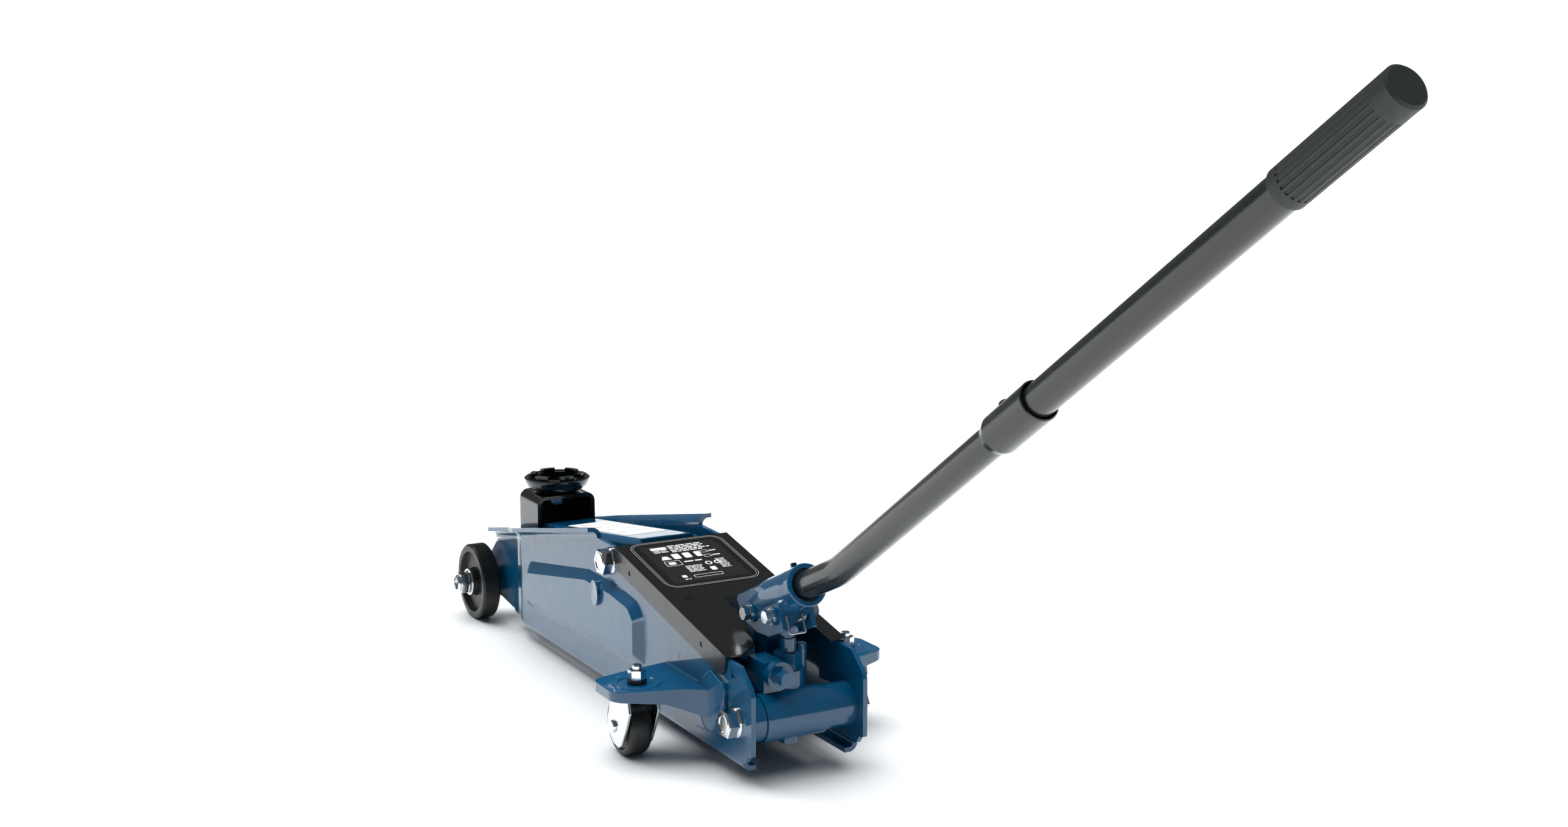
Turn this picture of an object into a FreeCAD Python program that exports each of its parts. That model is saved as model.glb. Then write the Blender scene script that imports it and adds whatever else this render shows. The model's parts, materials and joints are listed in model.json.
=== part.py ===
import FreeCAD, Part
import math
import os

from FreeCAD import Vector

# Hydraulic trolley jack. Millimetres, +X forward (saddle end), +Y left, +Z up, floor at z = 0.
# Every place below is measured from the point on the floor under the front axle. The finished
# solids are then moved along X together, so that the origin is under the middle of the jack.

# ---- driving dimensions: chassis -------------------------------------------------------------
WHEEL_R = 38.0
WHEEL_INNER_Y = 51.7
WHEEL_WIDTH = 18.0
AXLE_R = 6.0
PLATE_Y = 52.7            # outer face of a side plate behind the wheels
PLATE_T = 4.0
JOG = 9.0                 # how far the plates step in beside the front wheels
BEND = (-100.0, -62.0)    # where that step starts and ends along X
BEND_FLATS = 8            # flats that make up an S-bend
BOLT_R = 7.0
HOLE_GAP = 0.1
SLIDE_GAP = 0.05
TOP_FLANGE_REAR = (-283.0, 142.2)
TOP_FLANGE_FRONT = (-8.0, 84.1)
BOTTOM_Z = 12.0
REAR_BOLT = (-551.5, 50.0)

# ---- driving dimensions: lifting linkage -----------------------------------------------------
ARM_PIVOT = (-312.8, 127.7)
ARM_TIP = (-65.0, 92.0)
LINK_OFFSET = (20.0, -33.0)      # link pivots from the arm pivots, the same at both ends
ARM_HALF = 30.0
ARM_TIP_HALF = 24.0
ARM_T = 4.0
ARM_TOP = 16.5                   # top of the arm above its centre line
CRANK_R = 56.0
CRANK_BACK_DEG = 25.5            # crank pin behind straight down when the jack is as built
CRANK_PIN_R = 7.0
BRACKET_HALF = 30.5
BRACKET_X = (-88.0, -41.0)
BRACKET_TOP = 138.0
SADDLE_X = -65.0
SADDLE_R = 32.4
SEAT_R = 21.0                    # recess inside the saddle's toothed ring

# ---- driving dimensions: hydraulics ----------------------------------------------------------
RAM_Z = 70.0
RAM_ROD_R = 10.0
RESERVOIR_R = 27.0
RESERVOIR_X = (-462.0, -370.0)
RAM_REAR_X = -453.0
FILLER_X = -400.0
PUMP_X = -540.0
PUMP_TOP = 84.0
PLUNGER_R = 7.0
VALVE_YZ = (18.0, 85.0)
VENT_Y = -14.6

# ---- driving dimensions: handle --------------------------------------------------------------
SOCKET_PIVOT = (-508.0, 124.0)
SOCKET_MOUTH = (-572.2, 160.1)
SOCKET_DEG = 24.3
SOCKET_R = 15.3
SOCKET_LENGTH = 104.0
SOCKET_DEPTH = 50.0
PUSH_BOLT = (-545.0, 130.0)
SOCKET_BOLT_R = 3.5
SOCKET_BOLT_GRIP = 17.6         # from the middle of the jack to a bolt's washer
PUSH_R = 8.5
HANDLE_DEG = 34.07
HANDLE_BEND = (-621.6, 182.4)
LOWER_TUBE_R = 11.4
UPPER_TUBE_R = 12.0
COUPLER_R = 14.75
COUPLER_S = (246.8, 305.3)       # along the straight handle, from the bend
GRIP_S = (570.3, 672.3)
GRIP_R = 13.5
GRIP_FLUTES = 20

# ---- driving dimensions: casters -------------------------------------------------------------
CASTER_X = -464.4
CASTER_Y = 98.4
CASTER_TRAIL = 15.4
CASTER_R = 26.0
CASTER_WIDTH = 20.0
WING_TOP = 65.0
WING_T = 3.0

# ---- driving dimensions: cover and springs ---------------------------------------------------
COVER_TOP = (-326.0, 143.8)
COVER_END = (-538.0, 100.3)
COVER_T = 1.6
COVER_Y = 55.3
RIVET_PLACES = ((-357.7, 126.8), (-495.7, 99.6))
RIVET_R = 2.2
SPRING_ANCHOR = (-452.0, 76.0)
SPRING_Y = 40.5

NODES = {}


# ---- helpers ---------------------------------------------------------------------------------
def box(x, y, z):
    """Block between pairs of limits."""
    corner = Vector(x[0], y[0], z[0])
    return Part.makeBox(x[1] - x[0], y[1] - y[0], z[1] - z[0], corner)


def rod(radius, start, end):
    """Round bar between two points."""
    along = Vector(*end) - Vector(*start)
    return Part.makeCylinder(radius, along.Length, Vector(*start), along)


def tube(outer, inner, start, end):
    """Round tube between two points."""
    return rod(outer, start, end).cut(rod(inner, start, end))


def cross_rod(radius, place, y_start, y_end):
    """Round bar along Y at an (x, z) place."""
    return rod(radius, (place[0], y_start, place[1]), (place[0], y_end, place[1]))


def cross_tube(outer, inner, place, y_start, y_end):
    """Round tube along Y at an (x, z) place."""
    return cross_rod(outer, place, y_start, y_end).cut(cross_rod(inner, place, y_start, y_end))


def fuse(shapes):
    """One solid from several that touch."""
    joined = shapes[0]
    for shape in shapes[1:]:
        joined = joined.fuse(shape)
    return joined.removeSplitter()


def mirrored(shape):
    """The same piece on the other side of the jack."""
    return shape.mirror(Vector(0, 0, 0), Vector(0, 1, 0))


def both_sides(shape):
    """A piece and its mirror image, as two solids of one node."""
    return Part.makeCompound([shape, mirrored(shape)])


def rounded_wire(corners, lift):
    """Closed wire through corners (u, v, radius); a radius of zero leaves a corner sharp."""
    arcs = []
    count = len(corners)
    for index, (u, v, radius) in enumerate(corners):
        here = Vector(u, v, 0)
        back = Vector(corners[index - 1][0], corners[index - 1][1], 0) - here
        onward = Vector(corners[(index + 1) % count][0], corners[(index + 1) % count][1], 0) - here
        back.normalize()
        onward.normalize()
        half = back.getAngle(onward) / 2
        cut = radius / math.tan(half)
        bisector = back + onward
        bisector.normalize()
        middle = here + bisector * (radius / math.sin(half) - radius)
        arcs.append((here + back * cut, middle, here + onward * cut, radius))
    edges = []
    for index, (start, middle, end, radius) in enumerate(arcs):
        if radius > 0:
            edges.append(Part.Arc(lift(start), lift(middle), lift(end)).toShape())
        following = arcs[(index + 1) % count][0]
        if (following - end).Length > 1e-6:
            edges.append(Part.makeLine(lift(end), lift(following)))
    return Part.Wire(edges)


def side_slab(corners, y_start, y_end):
    """Plate with an outline (x, z, radius), from y_start to y_end."""
    wire = rounded_wire(corners, lambda p: Vector(p.x, y_start, p.y))
    return Part.Face(wire).extrude(Vector(0, y_end - y_start, 0))


def plan_slab(corners, z_start, z_end):
    """Plate with an outline (x, y, radius), from z_start to z_end."""
    wire = rounded_wire(corners, lambda p: Vector(p.x, p.y, z_start))
    return Part.Face(wire).extrude(Vector(0, 0, z_end - z_start))


def turned(profile, centre, axis, lift):
    """Solid of revolution from a closed profile of (radius, height) points."""
    points = [lift(radius, height) for radius, height in profile]
    face = Part.Face(Part.makePolygon(points + [points[0]]))
    return face.revolve(Vector(*centre), Vector(*axis), 360)


def turned_z(profile, x, y):
    """Profile of (radius, z) turned about a vertical axis."""
    return turned(profile, (x, y, 0), (0, 0, 1), lambda r, h: Vector(x + r, y, h))


def turned_y(profile, place):
    """Profile of (radius, y) turned about an axis along Y."""
    x, z = place
    return turned(profile, (x, 0, z), (0, 1, 0), lambda r, h: Vector(x + r, h, z))


def turned_on(profile, start, direction):
    """Profile of (radius, distance) turned about a line."""
    solid = turned_z(profile, 0, 0)
    rotation = FreeCAD.Rotation(Vector(0, 0, 1), Vector(*direction))
    solid.Placement = FreeCAD.Placement(Vector(*start), rotation)
    return solid


def hexagon(across_flats, start, direction, length, hole=0.0):
    """Hexagonal bar with chamfered far corners and an optional hole, from start along direction."""
    radius = across_flats / math.sqrt(3)
    points = []
    for step in range(7):
        angle = math.radians(60 * step)
        points.append(Vector(radius * math.cos(angle), radius * math.sin(angle), 0))
    bar = Part.Face(Part.makePolygon(points)).extrude(Vector(0, 0, length))
    flat = across_flats / 2
    rim = (radius - flat) * 0.6
    cone = turned_z([(0, 0), (radius + 1, 0), (radius + 1, length - rim), (flat, length), (0, length)], 0, 0)
    bar = bar.common(cone)
    if hole > 0:
        bar = bar.cut(rod(hole, (0, 0, -1), (0, 0, length + 1)))
    rotation = FreeCAD.Rotation(Vector(0, 0, 1), Vector(*direction))
    bar.Placement = FreeCAD.Placement(Vector(*start), rotation)
    return bar


def capsule(place_a, radius_a, place_b, radius_b, y_start, y_end):
    """Bar along Y whose outline wraps two circles."""
    ax, az = place_a
    bx, bz = place_b
    length = math.hypot(bx - ax, bz - az)
    heading = math.atan2(bz - az, bx - ax)
    spread = math.acos((radius_a - radius_b) / length)
    corners = []
    for place, radius, sign in ((place_a, radius_a, 1), (place_b, radius_b, 1),
                                (place_b, radius_b, -1), (place_a, radius_a, -1)):
        angle = heading + sign * spread
        corners.append(Vector(place[0] + radius * math.cos(angle), y_start,
                              place[1] + radius * math.sin(angle)))
    web = Part.Face(Part.makePolygon(corners + [corners[0]])).extrude(Vector(0, y_end - y_start, 0))
    ends = [cross_rod(radius_a, place_a, y_start, y_end), cross_rod(radius_b, place_b, y_start, y_end)]
    return fuse([web] + ends)


def stepped_prism(section, x_limits, bend_limits, step, slope=0.0):
    """Run a section (a face at x = 0) along X, with an S-bend that steps it inward in Y.

    slope is the rise in Z for each unit of X."""
    rear_x, front_x = x_limits
    bend_rear, bend_front = bend_limits
    places = [(rear_x, 0.0)]
    for count in range(BEND_FLATS + 1):
        share = count / BEND_FLATS
        places.append((bend_rear + share * (bend_front - bend_rear),
                       step * (math.cos(math.pi * share) - 1) / 2))
    places.append((front_x, -step))
    runs = []
    for (x_a, y_a), (x_b, y_b) in zip(places, places[1:]):
        piece = section.copy()
        piece.translate(Vector(x_a, y_a, slope * (x_a - rear_x)))
        runs.append(piece.extrude(Vector(x_b - x_a, y_b - y_a, slope * (x_b - x_a))))
    return fuse(runs)


def stepped_wall(outer_y, thickness, top_z, x_limits, bend_limits, step):
    """Upright wall from z = 0 to top_z with an S-bend; outer_y is its outer face at the rear."""
    inner_y = outer_y - thickness
    section = Part.Face(Part.makePolygon([Vector(0, outer_y, 0), Vector(0, inner_y, 0),
                                          Vector(0, inner_y, top_z), Vector(0, outer_y, top_z),
                                          Vector(0, outer_y, 0)]))
    return stepped_prism(section, x_limits, bend_limits, step)


def curl_section(middle, z, outward, outer, flat, rise):
    """Quarter-round lip as a face across X: outward is 1 or -1 in Y, rise is 1 up or -1 down."""
    inner = outer - PLATE_T
    centre_y = middle + outward * (PLATE_T / 2 + inner)
    half = math.sqrt(0.5)
    root = -rise * 1.0

    def at(y, height):
        return Vector(0, y, z + height)

    wall_out = middle - outward * PLATE_T / 2
    wall_in = middle + outward * PLATE_T / 2
    tip = centre_y + outward * flat
    edges = [Part.makeLine(at(wall_in, root), at(wall_out, root)),
             Part.makeLine(at(wall_out, root), at(wall_out, 0)),
             Part.Arc(at(wall_out, 0), at(centre_y - outward * outer * half, rise * outer * half),
                      at(centre_y, rise * outer)).toShape(),
             Part.makeLine(at(centre_y, rise * outer), at(tip, rise * outer)),
             Part.makeLine(at(tip, rise * outer), at(tip, rise * inner)),
             Part.makeLine(at(tip, rise * inner), at(centre_y, rise * inner)),
             Part.Arc(at(centre_y, rise * inner),
                      at(centre_y - outward * inner * half, rise * inner * half), at(wall_in, 0)).toShape(),
             Part.makeLine(at(wall_in, 0), at(wall_in, root))]
    return Part.Face(Part.Wire(edges))


# ---- side plates -----------------------------------------------------------------------------
PLATE_OUTLINE = [(-12, 83, 6), (-36, 90, 0), (-283, 142.2, 0), (-322, 141.6, 8), (-540, 97.0, 4),
                 (-557, 97.0, 7), (-577, 80, 12), (-577, 28, 2), (-571, 27, 1), (-566, 20, 3),
                 (-50, 20, 8), (-20, 24, 10), (20, 24, 12), (20, 54, 14)]
PANEL_TOP = [(-128, 75, 8), (-269, 101, 14), (-323, 101, 14), (-361, 97, 12), (-371, 88, 6),
             (-371, 54, 5), (-126, 48, 6), (-115, 61, 4)]
PANEL_BASE = [(-119, 84, 10), (-264, 109, 16), (-326, 109, 16), (-368, 104, 14), (-381, 92, 8),
              (-381, 45, 7), (-116, 38, 8), (-103, 58, 6)]
PANEL_RISE = 7.0


def raised_panel():
    """Pressed panel: a block with sloping borders that stands out of the plate."""
    base = rounded_wire(PANEL_BASE, lambda p: Vector(p.x, PLATE_Y - 0.02, p.y))
    top = rounded_wire(PANEL_TOP, lambda p: Vector(p.x, PLATE_Y + PANEL_RISE, p.y))
    return Part.makeLoft([base, top], True, True)


def top_lip():
    """Lip curled outward along the sloping top edge."""
    rear_x, rear_z = TOP_FLANGE_REAR
    front_x, front_z = TOP_FLANGE_FRONT
    section = curl_section(PLATE_Y - PLATE_T / 2, rear_z, 1, 10.0, 3.0, 1)
    return stepped_prism(section, (rear_x, front_x), BEND, JOG, (front_z - rear_z) / (front_x - rear_x))


def bottom_lip():
    """Lip curled inward along the bottom edge."""
    section = curl_section(PLATE_Y - PLATE_T / 2, BOTTOM_Z + 8.0, -1, 8.0, 4.0, -1)
    return stepped_prism(section, (-562.0, -54.0), BEND, JOG)


def link_boss():
    """Slanted round boss on the panel, over the link's rear pin."""
    x, z = link_anchor()
    face = PLATE_Y + PANEL_RISE
    slant = plan_slab([(x - 12, PLATE_Y - 1, 0), (x - 12, face + 3.2, 0), (x + 12, face - 0.3, 0),
                       (x + 12, PLATE_Y - 1, 0)], z - 20, z + 20)
    return cross_rod(11.5, (x, z), PLATE_Y - 1, face + 5).common(slant)


def side_plate():
    """Left side plate."""
    wall = stepped_wall(PLATE_Y, PLATE_T, 170, (-600, 40), BEND, JOG)
    sheet = wall.common(side_slab(PLATE_OUTLINE, 20, 80))
    panel = raised_panel()
    hollow = panel.copy()
    hollow.translate(Vector(0, -PLATE_T, 0))
    boss = link_boss()
    plate = fuse([sheet, panel, boss, top_lip(), bottom_lip()]).cut(hollow)
    for place, radius in (((0, WHEEL_R), AXLE_R), (ARM_PIVOT, BOLT_R), (REAR_BOLT, BOLT_R),
                          (SPRING_ANCHOR, 4.0), (RIVET_PLACES[0], RIVET_R),
                          (RIVET_PLACES[1], RIVET_R)):
        plate = plate.cut(cross_rod(radius + HOLE_GAP, place, 20, 80))
    plate = plate.cut(cross_rod(5.0 + HOLE_GAP, link_anchor(), 20, PLATE_Y - 0.2))
    notch = [(-543, 84, 1), (-543, 93, 1), (-551, 86, 1)]
    return plate.cut(side_slab(notch, PLATE_Y - 1.5, PLATE_Y + 1))


def arm_axes():
    """Unit vectors along the arm, pivot to tip, and square to it, upward."""
    dx = ARM_TIP[0] - ARM_PIVOT[0]
    dz = ARM_TIP[1] - ARM_PIVOT[1]
    length = math.hypot(dx, dz)
    return (dx / length, dz / length), (-dz / length, dx / length), length


def on_arm(along, above):
    """Place (x, z) at a distance along the arm and above its centre line."""
    ahead, up, _ = arm_axes()
    return (ARM_PIVOT[0] + along * ahead[0] + above * up[0],
            ARM_PIVOT[1] + along * ahead[1] + above * up[1])


def link_anchor():
    """Rear pivot of the levelling links, on the side plates."""
    return (ARM_PIVOT[0] + LINK_OFFSET[0], ARM_PIVOT[1] + LINK_OFFSET[1])


def link_front():
    """Front pivot of the levelling links, on the saddle bracket."""
    return (ARM_TIP[0] + LINK_OFFSET[0], ARM_TIP[1] + LINK_OFFSET[1])


def crank_place():
    """Centre of the crank pin."""
    back = math.radians(CRANK_BACK_DEG)
    return (ARM_PIVOT[0] - CRANK_R * math.sin(back), ARM_PIVOT[1] - CRANK_R * math.cos(back))


# ---- front wheels and axle -------------------------------------------------------------------
def front_wheel():
    """Left front wheel, turned in one piece."""
    y0 = WHEEL_INNER_Y
    y1 = y0 + WHEEL_WIDTH
    bore = AXLE_R + SLIDE_GAP
    hub_end = PLATE_Y - JOG + 0.4
    profile = [(bore, hub_end), (11, hub_end), (13, y0 + 4), (27, y0 + 4), (29, y0), (36.2, y0),
               (WHEEL_R, y0 + 1.8), (WHEEL_R, y1 - 1.8), (36.2, y1), (30.5, y1), (29, y1 - 5),
               (14.5, y1 - 5), (13.5, y1 - 0.2), (bore, y1 - 0.2)]
    return turned_y(profile, (0, WHEEL_R))


def front_axle():
    """Axle right across the jack, with threaded ends."""
    end = WHEEL_INNER_Y + WHEEL_WIDTH + 13.5
    profile = [(0, -end), (AXLE_R - 1, -end), (AXLE_R, 1 - end), (AXLE_R, end - 1), (AXLE_R - 1, end),
               (0, end)]
    return turned_y(profile, (0, WHEEL_R))


def lock_nut(place, y_base, bolt_radius, across):
    """Flanged hexagon nut with a rounded locking collar, on the left side."""
    x, z = place
    height = across * 0.42
    body = hexagon(across, (x, y_base + 1.9, z), (0, 1, 0), height, bolt_radius + HOLE_GAP)
    flange = cross_tube(across * 0.6, bolt_radius + HOLE_GAP, place, y_base, y_base + 2.0)
    y_top = y_base + 1.9 + height
    collar_r = across * 0.44
    bore = bolt_radius + HOLE_GAP
    collar = turned_y([(bore, y_top - 0.5), (collar_r, y_top - 0.5), (collar_r, y_top + 1.5),
                       (collar_r - 1.8, y_top + 3.2), (bore, y_top + 3.2)], place)
    return fuse([body, flange, collar])


def stud(place, y_end, radius):
    """Through bolt along Y with chamfered ends."""
    profile = [(0, -y_end), (radius - 1.2, -y_end), (radius, 1.2 - y_end), (radius, y_end - 1.2),
               (radius - 1.2, y_end), (0, y_end)]
    return turned_y(profile, place)


# ---- lift arm --------------------------------------------------------------------------------
def arm_blank(y_start, y_end):
    """Outline of the arm's side wall, with its crank lever, between two y places."""
    crank = crank_place()
    length = arm_axes()[2]
    beam = [on_arm(0, ARM_TOP), on_arm(length - 30, ARM_TOP), on_arm(length, 12), on_arm(length, -12),
            on_arm(length - 60, -15), on_arm(60, -19), on_arm(0, -16)]
    beam = [(x, z, 0) for x, z in beam]
    gusset = [(ARM_PIVOT[0], ARM_PIVOT[1], 0), on_arm(62, -10) + (0,), (crank[0] + 11, crank[1] - 2, 0)]
    return fuse([side_slab(beam, y_start, y_end),
                 side_slab(gusset, y_start, y_end),
                 cross_rod(12, ARM_TIP, y_start, y_end),
                 capsule(ARM_PIVOT, ARM_TOP, crank, 13, y_start, y_end)])


def lift_arm():
    """Arm folded from sheet: two walls with crank levers, and a top that joins them."""
    length = arm_axes()[2]
    bend = (on_arm(182, 0)[0], on_arm(206, 0)[0])
    step = ARM_HALF - ARM_TIP_HALF
    wall = stepped_wall(ARM_HALF, ARM_T, 200, (-380, -30), bend, step)
    left = wall.common(arm_blank(5, 45))
    x_wide = bend[0] + 1
    x_slim = bend[1] - 1
    x_end = on_arm(length - 26, 0)[0]
    plan = [(ARM_PIVOT[0] - 2, -ARM_HALF, 0), (x_wide, -ARM_HALF, 0), (x_slim, -ARM_TIP_HALF, 0),
            (x_end, -ARM_TIP_HALF, 0), (x_end, ARM_TIP_HALF, 0), (x_slim, ARM_TIP_HALF, 0),
            (x_wide, ARM_HALF, 0), (ARM_PIVOT[0] - 2, ARM_HALF, 0)]
    skin = [on_arm(-4, ARM_TOP) + (0,), on_arm(length - 26, ARM_TOP) + (0,),
            on_arm(length - 26, ARM_TOP - ARM_T) + (0,), on_arm(-4, ARM_TOP - ARM_T) + (0,)]
    top = plan_slab(plan, 0, 200).common(side_slab(skin, -45, 45))
    top = top.common(arm_blank(-45, 45))
    arm = fuse([left, mirrored(left), top])
    for place, radius in ((ARM_PIVOT, BOLT_R + SLIDE_GAP), (ARM_TIP, 7.0 + HOLE_GAP),
                          (crank_place(), CRANK_PIN_R + HOLE_GAP)):
        arm = arm.cut(cross_rod(radius, place, -45, 45))
    return arm.common(rounded_arm_envelope())


def rounded_arm_envelope():
    """Bar along the arm with its two long top edges rounded."""
    start = Vector(on_arm(-110, 0)[0], 0, on_arm(-110, 0)[1])
    ahead = Vector(arm_axes()[0][0], 0, arm_axes()[0][1])
    up = Vector(arm_axes()[1][0], 0, arm_axes()[1][1])
    section = [(-ARM_HALF, -200, 0), (-ARM_HALF, ARM_TOP, 7), (ARM_HALF, ARM_TOP, 7), (ARM_HALF, -200, 0)]
    wire = rounded_wire(section, lambda p: start + Vector(0, p.x, 0) + up * p.y)
    return Part.Face(wire).extrude(ahead * 400)


# ---- saddle and its bracket ------------------------------------------------------------------
def saddle_bracket():
    """Bent strap with a front wall, open at the rear, that carries the saddle on the arm's tip."""
    rear, front = BRACKET_X
    half = BRACKET_HALF
    section = [(-half, 40, 0), (-half, BRACKET_TOP, 9), (half, BRACKET_TOP, 9), (half, 40, 0),
               (half - 4, 40, 0), (half - 4, BRACKET_TOP - 4, 5), (4 - half, BRACKET_TOP - 4, 5),
               (4 - half, 40, 0)]
    wire = rounded_wire(section, lambda p: Vector(rear, p.x, p.y))
    strap = Part.Face(wire).extrude(Vector(front - rear, 0, 0))
    front_pin = link_front()
    outline = [(rear, BRACKET_TOP + 5, 0), (rear, 78, 10), (front_pin[0] - 12, front_pin[1] - 11, 10),
               (front_pin[0] + 10, front_pin[1] - 11, 10), (front + 7, 86, 10), (front, 98, 8),
               (front, BRACKET_TOP + 5, 0)]
    ear = [(front - 1, 98, 0), (front + 7, 86, 8), (front_pin[0] + 10, front_pin[1] - 11, 10),
           (front_pin[0] - 12, front_pin[1] - 11, 8), (front - 12, 98, 0)]
    lug = side_slab(ear, half - 4, half)
    strap = strap.common(side_slab(outline, -50, 50))
    front_wall = box((front - 4, front), (3.6 - half, half - 3.6), (84, BRACKET_TOP - 3))
    bracket = fuse([strap, lug, mirrored(lug), front_wall])
    bracket = bracket.cut(cross_rod(7.0 + SLIDE_GAP, ARM_TIP, -50, 50))
    bracket = bracket.cut(cross_rod(5.0 + HOLE_GAP, front_pin, -50, 50))
    return bracket.cut(rod(8.0 + SLIDE_GAP, (SADDLE_X, 0, BRACKET_TOP - 10), (SADDLE_X, 0, BRACKET_TOP + 5)))


def saddle():
    """Bowl with a toothed inner ring and a stem."""
    base = BRACKET_TOP + 0.4
    stem_end = BRACKET_TOP - 13
    profile = [(0, stem_end), (7, stem_end), (8, stem_end + 1), (8, base), (17, base), (25, base + 2.2),
               (30, base + 6.5), (SADDLE_R, base + 12), (SADDLE_R, base + 13.6), (30.6, base + 14.6),
               (28.5, base + 13.4), (26.3, base + 8.6), (26.3, base + 14), (SEAT_R, base + 14),
               (SEAT_R, base + 6.5), (0, base + 6.5)]
    bowl = turned_z(profile, SADDLE_X, 0)
    ring = turned_z([(SEAT_R, base + 13.5), (26.3, base + 13.5), (26.3, base + 17.6), (SEAT_R, base + 17.6)],
                    SADDLE_X, 0)
    teeth = []
    for index in range(6):
        wedge = Part.makeCylinder(40, 30, Vector(SADDLE_X, 0, base + 5), Vector(0, 0, 1), 34)
        wedge.rotate(Vector(SADDLE_X, 0, 0), Vector(0, 0, 1), index * 60 - 17)
        teeth.append(ring.common(wedge))
    return fuse([bowl] + teeth)


def saddle_nut():
    """Retaining nut on the saddle stem, under the bracket's top."""
    top = BRACKET_TOP - 4.4
    nut = hexagon(18, (SADDLE_X, 0, top), (0, 0, -1), 7.0, 8.0 + HOLE_GAP)
    return nut


# ---- levelling links -------------------------------------------------------------------------
def link_rod():
    """Left levelling link, a flat bar with an eye at each end."""
    bar = capsule(link_anchor(), 9, link_front(), 9, 32.0, 36.0)
    rear_x, rear_z = link_anchor()
    front_x, front_z = link_front()
    slim = [(rear_x + 26, rear_z + 12, 0), (front_x - 26, front_z + 14, 0), (front_x - 34, front_z + 7, 6),
            (rear_x + 34, rear_z + 1, 6)]
    bar = bar.cut(side_slab(slim, 30, 40))
    bar = bar.cut(cross_rod(5.0 + SLIDE_GAP, link_anchor(), 30, 40))
    return bar.cut(cross_rod(5.0 + SLIDE_GAP, link_front(), 30, 40))


def link_anchor_pin():
    """Left shouldered pin that the link turns on, riveted in the side plate."""
    profile = [(0, 31.2), (4.4, 31.2), (5.0, 31.8), (5.0, 36.3), (8.0, 36.3), (8.0, 48.6), (5.0, 48.6),
               (5.0, 52.4), (0, 52.4)]
    return turned_y(profile, link_anchor())


def link_front_pin():
    """Left headed pin that joins the link to the saddle bracket."""
    profile = [(0, BRACKET_HALF - 5.5), (6.5, BRACKET_HALF - 5.5), (6.5, BRACKET_HALF - 4.0),
               (5.0, BRACKET_HALF - 4.0), (5.0, 36.4), (7.5, 36.4), (7.5, 37.6), (6.5, 38.4), (0, 38.4)]
    return turned_y(profile, link_front())


def arm_tip_pin():
    """Pin through the arm's tip, on which the saddle bracket hangs."""
    end = 31.4
    profile = [(0, -end), (6.2, -end), (7.0, 0.8 - end), (7.0, end - 0.8), (6.2, end), (0, end)]
    return turned_y(profile, ARM_TIP)


# ---- hydraulic unit --------------------------------------------------------------------------
def pump_block():
    """Cast pump body: cross tube on the rear bolt, pump housing, ear for the handle socket."""
    y_valve, z_valve = VALVE_YZ
    rx, rz = REAR_BOLT
    cross = cross_rod(19.8, REAR_BOLT, -22, 34)
    body = plan_slab([(-551, -8, 0), (-551, 24, 5), (-499, 24, 8), (-499, -20.5, 8), (-534, -20.5, 4)],
                     36, PUMP_TOP - 6)
    housing = rod(13.5, (PUMP_X, 0, 44), (PUMP_X, 0, PUMP_TOP))
    waist = plan_slab([(-505, -20, 0), (-505, 20, 0), (-466, 26, 0), (-466, -26, 0)], 44, PUMP_TOP)
    collar = rod(30, (RESERVOIR_X[0] - 10, 0, RAM_Z), (RESERVOIR_X[0] + 4, 0, RAM_Z))
    valve_house = rod(11.5, (-561.5, y_valve, z_valve), (-552.8, y_valve, z_valve))
    valve_body = box((-553.5, -526), (12.5, 29), (70, z_valve + 10))
    foot = rod(8, (rx - 2, 6, rz - 22.5), (rx - 2, 6, rz))
    vent = rod(4.5, (-536, VENT_Y, 60), (-536, VENT_Y, 97))
    px, pz = SOCKET_PIVOT
    ear = fuse([cross_rod(9, SOCKET_PIVOT, -7, 7),
                side_slab([(px - 9, 70, 0), (px - 9, pz, 0), (px + 9, pz, 0), (px + 12, 70, 0)], -7, 7)])
    block = fuse([body, housing, cross, waist, collar, valve_house, valve_body, foot, vent, ear])
    block = block.cut(cross_rod(BOLT_R + HOLE_GAP, REAR_BOLT, -60, 60))
    block = block.cut(cross_rod(SOCKET_BOLT_R + SLIDE_GAP, SOCKET_PIVOT, -60, 60))
    block = block.cut(rod(PLUNGER_R + SLIDE_GAP, (PUMP_X, 0, 58.5), (PUMP_X, 0, 120)))
    block = block.cut(rod(5.0 + SLIDE_GAP, (-570, y_valve, z_valve), (-534, y_valve, z_valve)))
    return block.cut(rod(RESERVOIR_R + HOLE_GAP, (RESERVOIR_X[0], 0, RAM_Z), (RESERVOIR_X[0] + 9, 0, RAM_Z)))


def rear_sleeve(y_start, y_end):
    """Spacer sleeve between the pump block and a side plate."""
    return cross_tube(18.35, BOLT_R + HOLE_GAP, REAR_BOLT, y_start, y_end)


def reservoir():
    """Oil reservoir, a plain tube round the ram cylinder, with a filler hole in its top."""
    shell = tube(RESERVOIR_R, RESERVOIR_R - 2.5, (RESERVOIR_X[0], 0, RAM_Z), (RESERVOIR_X[1], 0, RAM_Z))
    return shell.cut(rod(4.5, (FILLER_X, 0, RAM_Z), (FILLER_X, 0, RAM_Z + 60)))


def ram_cylinder():
    """Ram cylinder inside the reservoir."""
    return tube(18, 14, (RESERVOIR_X[0], 0, RAM_Z), (RESERVOIR_X[1] - 10, 0, RAM_Z))


def front_cap():
    """Head nut that closes the reservoir and guides the ram rod."""
    x0 = RESERVOIR_X[1]
    profile = [(RAM_ROD_R + SLIDE_GAP, -10), (RESERVOIR_R - 2.7, -10), (RESERVOIR_R - 2.7, 0),
               (29.5, 0), (29.5, 7), (27, 9), (RAM_ROD_R + SLIDE_GAP, 9)]
    return turned_on(profile, (x0, 0, RAM_Z), (1, 0, 0))


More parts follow.
